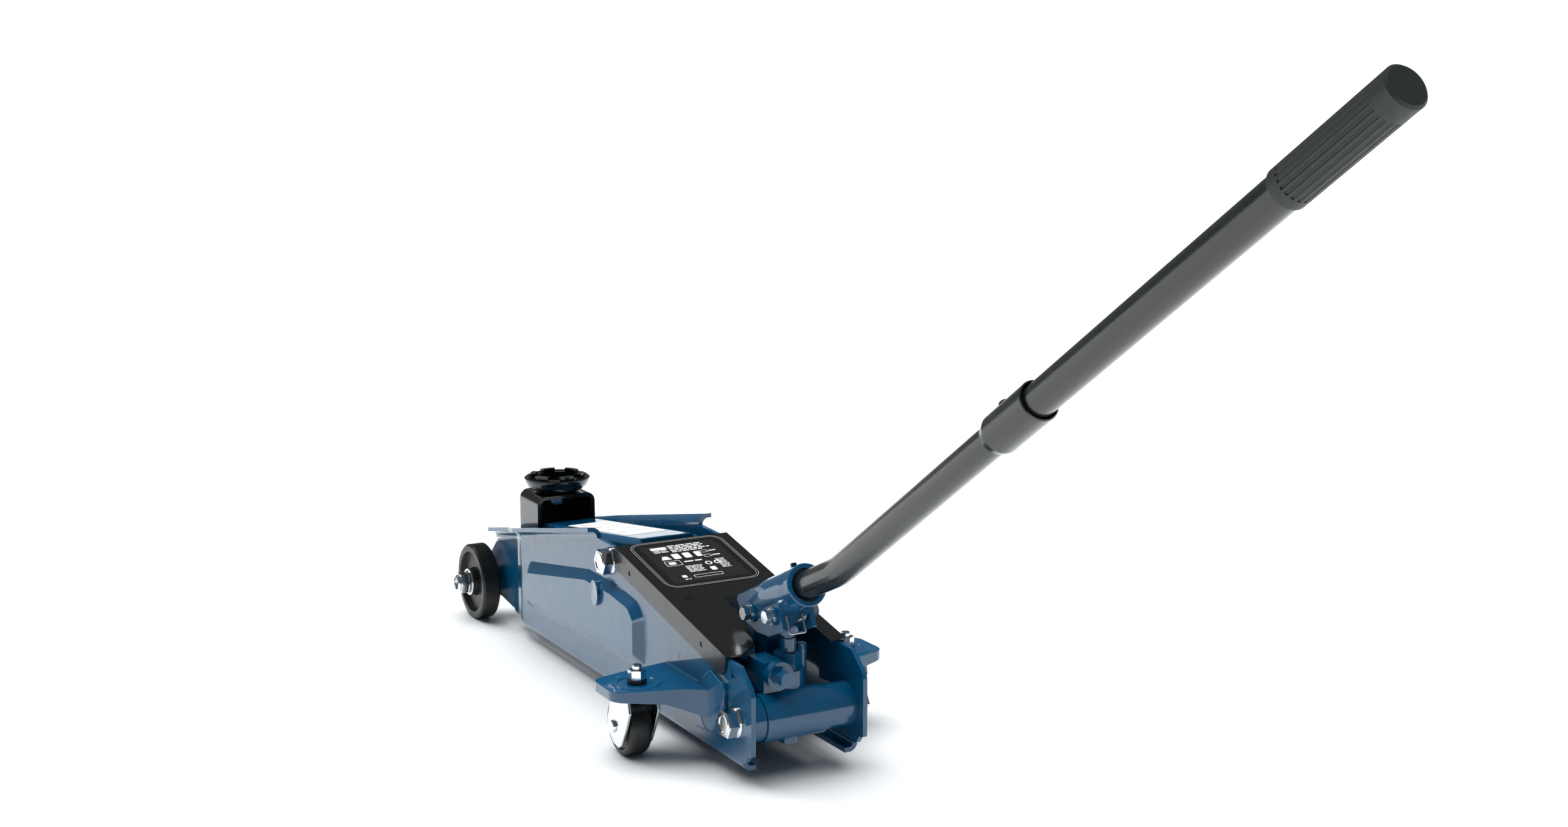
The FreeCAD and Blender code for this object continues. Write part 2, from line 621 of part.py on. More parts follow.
def filler_plug():
    """Rubber filler plug in the top of the reservoir."""
    z = RAM_Z + RESERVOIR_R - 3.0
    return turned_z([(0, z), (4.4, z), (4.4, z + 3.4), (7, z + 3.4), (6, z + 6.5), (0, z + 6.5)], FILLER_X, 0)


def ram():
    """Ram: rod and piston turned in one piece, with a groove for the seal."""
    profile = [(0, 0), (13.9, 0), (13.9, 5), (11.5, 5), (11.5, 9), (13.9, 9), (13.9, 14), (RAM_ROD_R, 14),
               (RAM_ROD_R, 101.6), (8, 101.6), (8, 106.4), (0, 106.4)]
    return turned_on(profile, (RAM_REAR_X, 0, RAM_Z), (1, 0, 0))


def ram_seal():
    """Seal ring in the piston's groove."""
    profile = [(11.6, 5.2), (13.9, 5.2), (13.9, 8.8), (11.6, 8.8)]
    return turned_on(profile, (RAM_REAR_X, 0, RAM_Z), (1, 0, 0))


def ram_head():
    """Rod head with an upright slot that drives the crank pin."""
    crank_x = crank_place()[0]
    half = CRANK_PIN_R + 7.0
    outline = [(crank_x - half, 56, 7), (crank_x - half, 97, 7), (crank_x + half, 97, 7),
               (crank_x + half, 56, 7)]
    slot_half = CRANK_PIN_R + 1.0
    slot = [(crank_x - slot_half, 63.2, 7.5), (crank_x - slot_half, 88.6, 7.5),
            (crank_x + slot_half, 88.6, 7.5), (crank_x + slot_half, 63.2, 7.5)]
    head = side_slab(outline, -15, 15).cut(side_slab(slot, -20, 20))
    return head.cut(rod(8 + HOLE_GAP, (crank_x - 30, 0, RAM_Z), (crank_x - slot_half - 1, 0, RAM_Z)))


def crank_pin():
    """Cross pin between the arm's levers; its ends carry the return springs."""
    end = 45.0
    profile = [(0, -end), (6, -end), (CRANK_PIN_R, 1 - end), (CRANK_PIN_R, end - 1), (6, end), (0, end)]
    return turned_y(profile, crank_place())


def gland_nut():
    """Hexagon gland nut round the pump plunger."""
    return hexagon(20, (PUMP_X, 0, PUMP_TOP), (0, 0, 1), 14.0, PLUNGER_R + SLIDE_GAP)


def plunger():
    """Pump plunger with a grooved head."""
    top = PUSH_BOLT[1] - PUSH_R - 0.4
    profile = [(0, 62), (PLUNGER_R - 0.8, 62), (PLUNGER_R, 62.8), (PLUNGER_R, top - 11.5), (5.2, top - 11.5),
               (5.2, top - 8.5), (9, top - 8.5), (9, top - 1), (8, top), (0, top)]
    return turned_z(profile, PUMP_X, 0)


def bent_wire(points, turn, radius):
    """Round wire through points, with every corner bent to a radius."""
    points = [Vector(*point) for point in points]
    edges = []
    start = points[0]
    for index in range(1, len(points) - 1):
        here = points[index]
        back = (points[index - 1] - here).normalize()
        onward = (points[index + 1] - here).normalize()
        half = back.getAngle(onward) / 2
        cut = turn / math.tan(half)
        bisector = (back + onward).normalize()
        edges.append(Part.makeLine(start, here + back * cut))
        edges.append(Part.Arc(here + back * cut, here + bisector * (turn / math.sin(half) - turn),
                              here + onward * cut).toShape())
        start = here + onward * cut
    edges.append(Part.makeLine(start, points[-1]))
    path = Part.Wire(edges)
    along = points[1] - points[0]
    section = Part.Wire([Part.makeCircle(radius, points[0], along)])
    return path.makePipeShell([section], True, True)


def release_valve():
    """Release valve screw with a hexagon end."""
    y, z = VALVE_YZ
    shank = rod(5.0, (-536, y, z), (-562.5, y, z))
    head = hexagon(12, (-562.5, y, z), (-1, 0, 0), 11.0)
    flange = rod(7.6, (-562.0, y, z), (-564.0, y, z))
    return fuse([shank, flange, head])


# ---- handle socket ---------------------------------------------------------------------------
def socket_axis():
    """Unit vector out of the socket's mouth."""
    angle = math.radians(SOCKET_DEG)
    return Vector(-math.cos(angle), 0, math.sin(angle))


def on_socket(depth):
    """Point on the socket's axis at a depth below its mouth."""
    return Vector(SOCKET_MOUTH[0], 0, SOCKET_MOUTH[1]) - socket_axis() * depth


def handle_socket():
    """Cast socket: bored for the handle, forked over the pump's ear, with a web behind the shoe."""
    low = on_socket(SOCKET_LENGTH)
    axis = socket_axis()
    length = SOCKET_LENGTH
    barrel = turned_on([(0, 0), (SOCKET_R - 2, 0), (SOCKET_R, 2.5), (SOCKET_R + 0.2, 26), (SOCKET_R + 1.8, 50),
                        (SOCKET_R + 1.6, length - 20), (SOCKET_R + 1, length - 9),
                        (SOCKET_R + 2.2, length - 7.5), (SOCKET_R + 2.2, length - 1), (SOCKET_R + 1.4, length),
                        (0, length)], low, axis)
    cheek = [(-479, 131, 4), (-486, 122.5, 6), (-497, 113.5, 8), (-518, 109.6, 9), (-536, 110.8, 8),
             (-561, 121, 1.5), (-554, 135, 6), (-549.5, 148, 0), (-520, 148, 0)]
    cheeks = [side_slab(cheek, 11.6, 15.2), side_slab(cheek, -15.2, -11.6)]
    bosses = [cross_rod(8.0, SOCKET_PIVOT, 8.2, 17.5), cross_rod(8.0, SOCKET_PIVOT, -17.5, -8.2),
              cross_rod(7.5, PUSH_BOLT, 11.6, 17.5), cross_rod(7.5, PUSH_BOLT, -17.5, -11.6)]
    socket = fuse([barrel, rear_web()] + cheeks + bosses)
    nose = side_slab([(-507, 101, 0), (-473, 137, 0), (-440, 137, 0), (-440, 60, 0), (-507, 60, 0)], -30, 30)
    mouth = rod(LOWER_TUBE_R + 2.2, on_socket(4.5), on_socket(-5))
    bore = rod(LOWER_TUBE_R + SLIDE_GAP, on_socket(SOCKET_DEPTH), on_socket(-5))
    socket = socket.cut(nose).cut(mouth)
    vx, vz = SOCKET_PIVOT
    slot = fuse([cross_rod(12.0, SOCKET_PIVOT, -8, 8), box((vx - 11.6, vx + 60), (-8, 8), (80, vz))])
    socket = socket.cut(bore).cut(slot)
    socket = socket.cut(cross_rod(PUSH_R + 0.2, PUSH_BOLT, -11.6, 11.6).cut(
        rod(LOWER_TUBE_R + 1.3, on_socket(SOCKET_DEPTH + 10), on_socket(-5))))
    for place in (SOCKET_PIVOT, PUSH_BOLT):
        socket = socket.cut(cross_rod(SOCKET_BOLT_R + HOLE_GAP, place, -60, 60))
    key, up = clamp_place()
    return socket.cut(rod(2.7, key + up * 5, key + up * 40))


def rear_web():
    """Wall between the socket's cheeks, behind the shoe, with a slanting lower edge."""
    outline = [(-547.4, 150, 0), (-551.4, 135.4, 0), (-558.4, 121, 0), (-561, 121, 0), (-554, 135, 6),
               (-549.5, 148, 0), (-549, 150, 0)]
    below = rounded_wire([(12, 120.2, 0), (2, 127.0, 20), (-12, 131.8, 0), (-12, 100, 0), (12, 100, 0)],
                         lambda p: Vector(-570, p.x, p.y))
    return side_slab(outline, -11.7, 11.7).cut(Part.Face(below).extrude(Vector(30, 0, 0)))


def clamp_place():
    """Point on the socket's axis under the clamp screw, and the screw's direction."""
    angle = math.radians(SOCKET_DEG)
    return on_socket(16), Vector(math.sin(angle), 0, math.cos(angle))


def clamp_screw():
    """Headless clamp screw in the top of the socket, which holds the handle."""
    key, up = clamp_place()
    top = SOCKET_R + 5.5
    profile = [(0, LOWER_TUBE_R + 0.3), (2.6, LOWER_TUBE_R + 0.3), (2.6, top - 0.5), (2.1, top), (0, top)]
    return turned_on(profile, key, up)


def push_shoe():
    """Hardened shoe below the socket, which presses on the plunger's head."""
    shoe = cross_rod(PUSH_R, PUSH_BOLT, -9.8, 9.8)
    shoe = shoe.cut(rod(LOWER_TUBE_R + 1.5, on_socket(SOCKET_DEPTH + 12), on_socket(-5)))
    return shoe.cut(cross_rod(SOCKET_BOLT_R + HOLE_GAP, PUSH_BOLT, -20, 20))


def socket_bolt(place):
    """Cross bolt of the socket, with its head and washer on the left."""
    x, z = place
    grip_y = SOCKET_BOLT_GRIP
    shank = cross_rod(SOCKET_BOLT_R, place, -grip_y - 6.5, grip_y + 1)
    washer = cross_rod(6.4, place, grip_y, grip_y + 1.2)
    head = hexagon(10, (x, grip_y + 1.1, z), (0, 1, 0), 5.6)
    return fuse([shank, washer, head])


def socket_bolt_nut(place):
    """Nut of a cross bolt, on the right side."""
    x, z = place
    start = (x, -SOCKET_BOLT_GRIP - 0.1, z)
    return hexagon(10, start, (0, -1, 0), 5.5, SOCKET_BOLT_R + HOLE_GAP)


def socket_clip():
    """Bent wire staple that lies on the rear of the socket's web."""
    left_y = 10.6
    right_y = -3.5
    low_x = -563.3
    low_z = 118.9
    path_points = [(-556.6, right_y, 132.3), (low_x, right_y, low_z), (low_x, left_y, low_z),
                   (-556.6, left_y, 132.3)]
    return bent_wire(path_points, 1.6, 0.95)


# ---- handle ----------------------------------------------------------------------------------
def handle_axis():
    """Unit vector up the straight part of the handle."""
    angle = math.radians(HANDLE_DEG)
    return Vector(-math.cos(angle), 0, math.sin(angle))


def on_handle(distance):
    """Point on the handle's axis at a distance above the bend."""
    return Vector(HANDLE_BEND[0], 0, HANDLE_BEND[1]) + handle_axis() * distance


def lower_tube():
    """Lower handle tube, bent once above the socket."""
    start = on_socket(SOCKET_DEPTH - 1)
    mouth = on_socket(0)
    bend = Vector(HANDLE_BEND[0], 0, HANDLE_BEND[1])
    end = on_handle(COUPLER_S[0] + 12)
    corner = mouth + socket_axis() * ((bend - mouth).dot(socket_axis()))
    back = (start - corner).normalize()
    onward = (end - corner).normalize()
    half = back.getAngle(onward) / 2
    radius = 130.0
    cut = radius / math.tan(half)
    middle = corner + (back + onward).normalize() * (radius / math.sin(half) - radius)
    path = Part.Wire([Part.makeLine(start, corner + back * cut),
                      Part.Arc(corner + back * cut, middle, corner + onward * cut).toShape(),
                      Part.makeLine(corner + onward * cut, end)])
    outer = path.makePipeShell([Part.Wire([Part.makeCircle(LOWER_TUBE_R, start, socket_axis())])], True, True)
    inner = path.makePipeShell([Part.Wire([Part.makeCircle(LOWER_TUBE_R - 1.8, start, socket_axis())])],
                               True, True)
    return outer.cut(inner)


def coupler():
    """Sleeve that joins the two halves of the handle."""
    length = COUPLER_S[1] - COUPLER_S[0]
    profile = [(LOWER_TUBE_R + HOLE_GAP, 0), (12.6, 0), (COUPLER_R - 0.7, 5), (COUPLER_R, 7),
               (COUPLER_R, length - 0.8), (COUPLER_R - 0.8, length), (13.6, length), (13.3, length - 5),
               (UPPER_TUBE_R + SLIDE_GAP, length - 6), (UPPER_TUBE_R + SLIDE_GAP, 13),
               (LOWER_TUBE_R + HOLE_GAP, 13)]
    sleeve = turned_on(profile, on_handle(COUPLER_S[0]), handle_axis())
    up = Vector(math.sin(math.radians(HANDLE_DEG)), 0, math.cos(math.radians(HANDLE_DEG)))
    place = on_handle(COUPLER_S[0] + 22)
    return sleeve.cut(rod(2.6, place, place + up * 30))


def coupler_screw():
    """Dome-headed screw in the top of the coupler, which keeps the upper tube in."""
    up = Vector(math.sin(math.radians(HANDLE_DEG)), 0, math.cos(math.radians(HANDLE_DEG)))
    place = on_handle(COUPLER_S[0] + 22)
    profile = [(0, 12.4), (2.5, 12.4), (2.5, COUPLER_R + 0.1), (4.6, COUPLER_R + 0.1), (4.2, COUPLER_R + 1.3),
               (2.6, COUPLER_R + 2.3), (0, COUPLER_R + 2.6)]
    return turned_on(profile, place, up)


def upper_tube():
    """Upper handle tube."""
    start = on_handle(COUPLER_S[0] + 13.5)
    return tube(UPPER_TUBE_R, UPPER_TUBE_R - 1.8, start, on_handle(GRIP_S[1] - 3))


def grip():
    """Fluted grip, closed at its end."""
    length = GRIP_S[1] - GRIP_S[0]
    bore = UPPER_TUBE_R + 0.02
    profile = [(bore, 0), (GRIP_R - 0.8, 0), (GRIP_R, 1.2), (GRIP_R, length - 1.6), (GRIP_R - 1.6, length),
               (0, length), (0, length - 2.5), (bore, length - 2.5)]
    body = turned_z(profile, 0, 0)
    for index in range(GRIP_FLUTES):
        angle = 2 * math.pi * index / GRIP_FLUTES
        centre = (GRIP_R + 0.35) * math.cos(angle), (GRIP_R + 0.35) * math.sin(angle)
        body = body.cut(rod(1.15, (centre[0], centre[1], 9), (centre[0], centre[1], length - 15)))
    rotation = FreeCAD.Rotation(Vector(0, 0, 1), handle_axis())
    body.Placement = FreeCAD.Placement(on_handle(GRIP_S[0]), rotation)
    return body


# ---- cover -----------------------------------------------------------------------------------
def on_cover(x, below=0.0):
    """Point of the cover's top plane, or below it, square to the sheet."""
    slope = math.atan2(COVER_TOP[1] - COVER_END[1], COVER_TOP[0] - COVER_END[0])
    z = COVER_TOP[1] + (x - COVER_TOP[0]) * math.tan(slope)
    return (x + below * math.sin(slope), z - below * math.cos(slope))


def cover_plate():
    """Sheet cover over the pump, with side flanges and a flaring cut-out for the handle socket."""
    top = side_slab([on_cover(COVER_TOP[0]) + (0,), on_cover(COVER_END[0]) + (0,),
                     on_cover(COVER_END[0], COVER_T) + (0,), on_cover(COVER_TOP[0], COVER_T) + (0,)],
                    -COVER_Y, COVER_Y)
    flange = side_slab([on_cover(COVER_TOP[0]) + (0,), on_cover(COVER_END[0]) + (0,),
                        on_cover(COVER_END[0], 19) + (8,), on_cover(COVER_TOP[0], 19) + (4,)],
                       COVER_Y - COVER_T, COVER_Y)
    cover = fuse([top, flange, mirrored(flange)])
    gap = plan_slab([(-444, -8.5, 2), (-444, 8.5, 2), (-486, 8.5, 8), (-527, 24, 3), (-541, 45, 0),
                     (-600, 45, 0), (-600, -42, 0), (-512, -40, 5), (-486, -8.5, 8)], 60, 200)
    cover = cover.cut(gap).cut(cross_rod(13.4, ARM_PIVOT, -80, 80))
    for place in RIVET_PLACES:
        cover = cover.cut(cross_rod(RIVET_R + HOLE_GAP, place, -80, 80))
    return cover


def cover_rivet(place):
    """Left rivet that holds a cover flange to a side plate."""
    return turned_y([(0, PLATE_Y - PLATE_T), (RIVET_R, PLATE_Y - PLATE_T), (RIVET_R, COVER_Y - 0.6),
                     (0, COVER_Y - 0.6)], place)


# ---- casters ---------------------------------------------------------------------------------
def caster_wing():
    """Left pressed bracket that carries a caster, welded to the side plate."""
    outline = [(-423, PLATE_Y, 0), (-431, 99, 30), (-438, 126.5, 10), (-480, 127, 12), (-497, 70, 40),
               (-512, PLATE_Y, 0)]
    inner = [(-426.2, PLATE_Y - 1, 0), (-434, 99, 27), (-440.8, 123.6, 7), (-477.6, 124, 9), (-494, 70, 37),
             (-509, PLATE_Y - 1, 0)]
    body = plan_slab(outline, 42, WING_TOP).cut(plan_slab(inner, 30, WING_TOP - WING_T))
    below = rounded_wire([(61, 20, 0), (61, 43, 0), (86, 52.3, 0), (140, 58, 0), (140, 20, 0)],
                         lambda p: Vector(-600, p.x, p.y))
    body = body.cut(Part.Face(below).extrude(Vector(240, 0, 0)))
    foot = side_slab([(-480, 28, 4), (-480, 60, 0), (-512, 83, 6), (-537, 76, 6), (-537, 34, 4)],
                     PLATE_Y, PLATE_Y + 3.4)
    ring = turned_z([(15, WING_TOP - 1), (21, WING_TOP - 1), (20, WING_TOP + 1.1), (16, WING_TOP + 1.1)],
                    CASTER_X, CASTER_Y)
    wing = fuse([body, foot, ring])
    return wing.cut(rod(4.0 + SLIDE_GAP, (CASTER_X, CASTER_Y, 40), (CASTER_X, CASTER_Y, 90)))


def caster_fork():
    """Left caster fork: bent plate with two legs."""
    hub_x = CASTER_X + CASTER_TRAIL
    leg_in = CASTER_WIDTH / 2 + 1.6
    leg_out = leg_in + 2.8
    legs = []
    for sign in (-1, 1):
        near = CASTER_Y + sign * leg_in
        far = CASTER_Y + sign * leg_out
        outline = [(CASTER_X - 12, 55.5, 3), (CASTER_X + 12, 55.5, 3), (hub_x + 10, CASTER_R, 6),
                   (hub_x + 6, CASTER_R - 10, 6), (hub_x - 6, CASTER_R - 10, 6), (hub_x - 12, CASTER_R, 8)]
        legs.append(side_slab(outline, min(near, far), max(near, far)))
    crown = plan_slab([(CASTER_X - 12, CASTER_Y - leg_out, 3), (CASTER_X - 12, CASTER_Y + leg_out, 3),
                       (CASTER_X + 12, CASTER_Y + leg_out, 3), (CASTER_X + 12, CASTER_Y - leg_out, 3)],
                      53.0, 55.8)
    fork = fuse([crown] + legs)
    fork = fork.cut(rod(4.0 + SLIDE_GAP, (CASTER_X, CASTER_Y, 40), (CASTER_X, CASTER_Y, 70)))
    return fork.cut(cross_rod(3.5 + HOLE_GAP, (hub_x, CASTER_R), CASTER_Y - 20, CASTER_Y + 20))


def caster_kingpin():
    """Left swivel bolt, held in the bracket by its nut; the fork turns on it."""
    profile = [(0, 50.4), (5.4, 50.4), (6.2, 51.4), (6.2, 52.6), (4.0, 52.6), (4.0, 80), (3.2, 80.8),
               (0, 80.8)]
    return turned_z(profile, CASTER_X, CASTER_Y)


def caster_race():
    """Thrust race between fork and bracket."""
    return turned_z([(4.0 + HOLE_GAP, 56.0), (12, 56.0), (12, 58.6), (10, 61.7), (4.0 + HOLE_GAP, 61.7)],
                    CASTER_X, CASTER_Y)


def caster_wheel():
    """Left caster wheel, with a rounded tread and a recessed web."""
    y0 = CASTER_Y - CASTER_WIDTH / 2
    y1 = CASTER_Y + CASTER_WIDTH / 2
    bore = 3.5 + SLIDE_GAP
    profile = [(bore, y0 - 1), (7, y0 - 1), (7.5, y0 + 2), (19, y0 + 2), (20.5, y0), (22.5, y0),
               (24.8, y0 + 1.6), (CASTER_R, y0 + 5), (CASTER_R, y1 - 5), (24.8, y1 - 1.6), (22.5, y1),
               (20.5, y1), (19, y1 - 2), (7.5, y1 - 2), (7, y1 + 1), (bore, y1 + 1)]
    return turned_y(profile, (CASTER_X + CASTER_TRAIL, CASTER_R))


def caster_axle():
    """Left caster axle, riveted at both ends."""
    leg_out = CASTER_WIDTH / 2 + 4.4
    low = CASTER_Y - leg_out
    high = CASTER_Y + leg_out
    profile = [(0, low - 2.4), (4.4, low - 2.4), (5.4, low - 0.1), (3.5, low - 0.1), (3.5, high + 0.1),
               (5.4, high + 0.1), (4.4, high + 2.4), (0, high + 2.4)]
    return turned_y(profile, (CASTER_X + CASTER_TRAIL, CASTER_R))


def caster_nut():
    """Left swivel nut on top of the wing."""
    return hexagon(13, (CASTER_X, CASTER_Y, WING_TOP + 3.7), (0, 0, 1), 8.0, 4.0 + HOLE_GAP)


def caster_washer():
    """Left washer under the swivel nut."""
    return turned_z([(4.0 + HOLE_GAP, WING_TOP + 0.1), (8.2, WING_TOP + 0.1), (8.2, WING_TOP + 3.5),
                     (4.0 + HOLE_GAP, WING_TOP + 3.5)], CASTER_X, CASTER_Y)


# ---- return springs --------------------------------------------------------------------------
def spring_anchor_pin():
    """Left stud on the side plate that holds the spring's rear end."""
    profile = [(0, 35.8), (5.5, 35.8), (5.5, 37.6), (3.6, 37.6), (3.6, 48.6), (4.0, 48.6), (4.0, 52.6),
               (0, 52.6)]
    return turned_y(profile, SPRING_ANCHOR)


def return_spring():
    """Left return spring: a coil with an eye at each end."""
    crank = crank_place()
    wire = 1.1
    rear = Vector(SPRING_ANCHOR[0], SPRING_Y, SPRING_ANCHOR[1])
    front = Vector(crank[0], SPRING_Y, crank[1])
    along = (front - rear).normalize()
    span = (front - rear).Length
    rear_eye = 5.2
    front_eye = CRANK_PIN_R + 1.6
    coil_length = span - rear_eye - front_eye - 8
    turns = 20
    helix = Part.makeHelix(coil_length / turns, coil_length, 4.6)
    section = Part.Wire([Part.makeCircle(wire, Vector(4.6, 0, 0), Vector(0, 1, 0))])
    coil = helix.makePipeShell([section], True, True)
    rotation = FreeCAD.Rotation(Vector(0, 0, 1), along)
    coil.Placement = FreeCAD.Placement(rear + along * (rear_eye + 4), rotation)
    eyes = [Part.makeTorus(rear_eye, wire, rear, Vector(0, 1, 0)),
            Part.makeTorus(front_eye, wire, front, Vector(0, 1, 0))]
    return Part.makeCompound([coil] + eyes)


# ---- assembly --------------------------------------------------------------------------------
def build_chassis():
    """Everything that is fixed to the side plates."""
    plate = side_plate()
    NODES["side_plate_left"] = plate
    NODES["side_plate_right"] = mirrored(plate)
    NODES["front_axle"] = front_axle()
    NODES["front_spacer_tube"] = cross_tube(10, AXLE_R + HOLE_GAP, (0, WHEEL_R), -39.6, 39.6)
    wheel_side = WHEEL_INNER_Y + WHEEL_WIDTH
    NODES["axle_washers"] = both_sides(cross_tube(13.5, AXLE_R + HOLE_GAP, (0, WHEEL_R),
                                                  wheel_side + 0.2, wheel_side + 2.6))
    NODES["axle_nuts"] = both_sides(lock_nut((0, WHEEL_R), wheel_side + 2.7, AXLE_R, 19))
    NODES["arm_pivot_shaft"] = stud(ARM_PIVOT, PLATE_Y + 15.0, BOLT_R)
    NODES["arm_pivot_spacers"] = both_sides(cross_tube(10, BOLT_R + HOLE_GAP, ARM_PIVOT, 30.5, 48.6))
    NODES["rear_bolt"] = stud(REAR_BOLT, PLATE_Y + 15.0, BOLT_R)
    nuts = []
    for place in (ARM_PIVOT, REAR_BOLT):
        nut = lock_nut(place, PLATE_Y + 0.1, BOLT_R, 20.5)
        nuts += [nut, mirrored(nut)]
    NODES["frame_nuts"] = Part.makeCompound(nuts)
    NODES["link_anchor_pins"] = both_sides(link_anchor_pin())
    NODES["spring_anchor_pins"] = both_sides(spring_anchor_pin())
    NODES["return_springs"] = both_springs()
    NODES["cover_plate"] = cover_plate()
    rivets = [cover_rivet(place) for place in RIVET_PLACES]
    NODES["cover_rivets"] = Part.makeCompound(rivets + [mirrored(rivet) for rivet in rivets])


def both_springs():
    """The springs of both sides as one node."""
    left = return_spring()
    return Part.makeCompound(left.Solids + mirrored(left).Solids)


def build_hydraulics():
    """Pump block, reservoir and ram."""
    NODES["pump_block"] = pump_block()
    NODES["rear_sleeves"] = Part.makeCompound([rear_sleeve(34.1, 48.6), rear_sleeve(-48.6, -22.1)])
    NODES["reservoir_tube"] = reservoir()
    NODES["ram_cylinder"] = ram_cylinder()
    NODES["reservoir_head_nut"] = front_cap()
    NODES["filler_plug"] = filler_plug()
    NODES["pump_gland_nut"] = gland_nut()
    NODES["ram"] = ram()
    NODES["ram_seal"] = ram_seal()
    NODES["ram_rod_head"] = ram_head()
    NODES["pump_plunger"] = plunger()
    NODES["release_valve"] = release_valve()


def build_linkage():
    """Lift arm, levelling links, saddle bracket and saddle."""
    NODES["lift_arm"] = lift_arm()
    NODES["crank_pin"] = crank_pin()
    NODES["arm_tip_pin"] = arm_tip_pin()
    NODES["saddle_bracket"] = saddle_bracket()
    NODES["link_front_pins"] = both_sides(link_front_pin())
    NODES["saddle"] = saddle()
    NODES["saddle_nut"] = saddle_nut()
    NODES["link_rods"] = both_sides(link_rod())


def build_handle():
    """Socket, pump bolts and the two-part handle."""
    NODES["handle_socket"] = handle_socket()
    places = (SOCKET_PIVOT, PUSH_BOLT)
    NODES["socket_bolts"] = Part.makeCompound([socket_bolt(place) for place in places])
    NODES["socket_bolt_nuts"] = Part.makeCompound([socket_bolt_nut(place) for place in places])
    NODES["push_shoe"] = push_shoe()
    NODES["socket_clip"] = socket_clip()
    NODES["clamp_screw"] = clamp_screw()
    NODES["handle_lower_tube"] = lower_tube()
    NODES["handle_coupler"] = coupler()
    NODES["coupler_screw"] = coupler_screw()
    NODES["handle_upper_tube"] = upper_tube()
    NODES["handle_grip"] = grip()


def build_wheels():
    """Front wheels and casters."""
    pieces = {"front_wheel": front_wheel(), "caster_bracket": caster_wing(), "caster_fork": caster_fork(),
              "caster_wheel": caster_wheel(), "caster_axle": caster_axle()}
    for name, piece in pieces.items():
        NODES[name + "_left"] = piece
        NODES[name + "_right"] = mirrored(piece)
    NODES["caster_kingpins"] = both_sides(caster_kingpin())
    NODES["caster_nuts"] = both_sides(caster_nut())
    NODES["caster_races"] = both_sides(caster_race())
    NODES["caster_washers"] = both_sides(caster_washer())


def main():
    """Build every node, centre the jack and write one STEP file per node."""
    os.makedirs("parts", exist_ok=True)
    build_chassis()
    build_hydraulics()
    build_linkage()
    build_handle()
    build_wheels()
    whole = FreeCAD.BoundBox()
    for shape in NODES.values():
        whole.add(shape.BoundBox)
    shift = -(whole.XMin + whole.XMax) / 2
    print("moved along X by", round(shift, 4), "with", len(NODES), "nodes")
    for name, shape in NODES.items():
        if not shape.isValid():
            print("not valid:", name)
        if not shape.Solids:
            print("no solid:", name)
        placed = shape.copy()
        placed.translate(Vector(shift, 0, 0))
        placed.exportStep("parts/" + name + ".step")


main()
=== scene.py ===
import json
import math
import random

import bmesh
import bpy
from mathutils import Matrix, Vector


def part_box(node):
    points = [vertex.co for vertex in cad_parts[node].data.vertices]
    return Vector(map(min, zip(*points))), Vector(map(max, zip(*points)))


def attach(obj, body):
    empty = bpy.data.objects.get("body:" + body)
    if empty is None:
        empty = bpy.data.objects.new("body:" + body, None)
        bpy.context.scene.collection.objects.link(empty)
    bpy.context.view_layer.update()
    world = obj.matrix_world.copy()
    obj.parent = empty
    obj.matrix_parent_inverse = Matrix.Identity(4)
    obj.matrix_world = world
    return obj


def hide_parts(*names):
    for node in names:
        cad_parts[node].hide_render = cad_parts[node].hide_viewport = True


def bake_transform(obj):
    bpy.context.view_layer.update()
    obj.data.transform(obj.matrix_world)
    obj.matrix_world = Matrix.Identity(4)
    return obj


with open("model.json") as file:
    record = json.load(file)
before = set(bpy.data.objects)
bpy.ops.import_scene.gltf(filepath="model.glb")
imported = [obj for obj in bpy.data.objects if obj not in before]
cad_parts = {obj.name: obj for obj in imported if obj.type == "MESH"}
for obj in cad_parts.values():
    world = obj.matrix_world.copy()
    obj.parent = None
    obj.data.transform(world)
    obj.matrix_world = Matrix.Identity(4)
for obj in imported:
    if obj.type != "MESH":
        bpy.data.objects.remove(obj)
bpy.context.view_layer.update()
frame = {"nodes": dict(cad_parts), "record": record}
scene = bpy.context.scene
MM = 0.001
MILLIMETRES = Matrix.Scale(MM, 4)

# ---- places taken from the frame -------------------------------------------------------------
axle_low, axle_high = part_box("front_axle")
AXLE_X = (axle_low.x + axle_high.x) / 2      # the drawing's zero is the floor under the front axle

# Side-view places (x, z) in millimetres from the drawing's zero.
ARM_PIVOT = (-312.8, 127.7)
REAR_BOLT = (-551.5, 50.0)


def place(x, y, z):
    """A point given in millimetres from the floor under the front axle, in the frame's metres."""
    return Vector((AXLE_X + x * MM, y * MM, z * MM))


def drawn_at(x, y, z, turn=0):
    """Matrix to draw in millimetres about a place, turned about X by degrees."""
    return Matrix.Translation(place(x, y, z)) @ Matrix.Rotation(math.radians(turn), 4, "X") @ MILLIMETRES


# ---- small mesh tools ------------------------------------------------------------------------
def mesh_piece(name, build, material, body, smooth_angle=40):
    """Make a piece from a bmesh builder, with its material, riding on a body or, with None, on none yet."""
    mesh = bpy.data.meshes.new(name)
    bm = bmesh.new()
    build(bm)
    bmesh.ops.recalc_face_normals(bm, faces=bm.faces)
    bm.to_mesh(mesh)
    bm.free()
    mesh.polygons.foreach_set("use_smooth", [True] * len(mesh.polygons))
    mesh.set_sharp_from_angle(angle=math.radians(smooth_angle))
    piece = bpy.data.objects.new(name, mesh)
    scene.collection.objects.link(piece)
    mesh.materials.append(material)
    if body:
        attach(piece, body)
    return piece


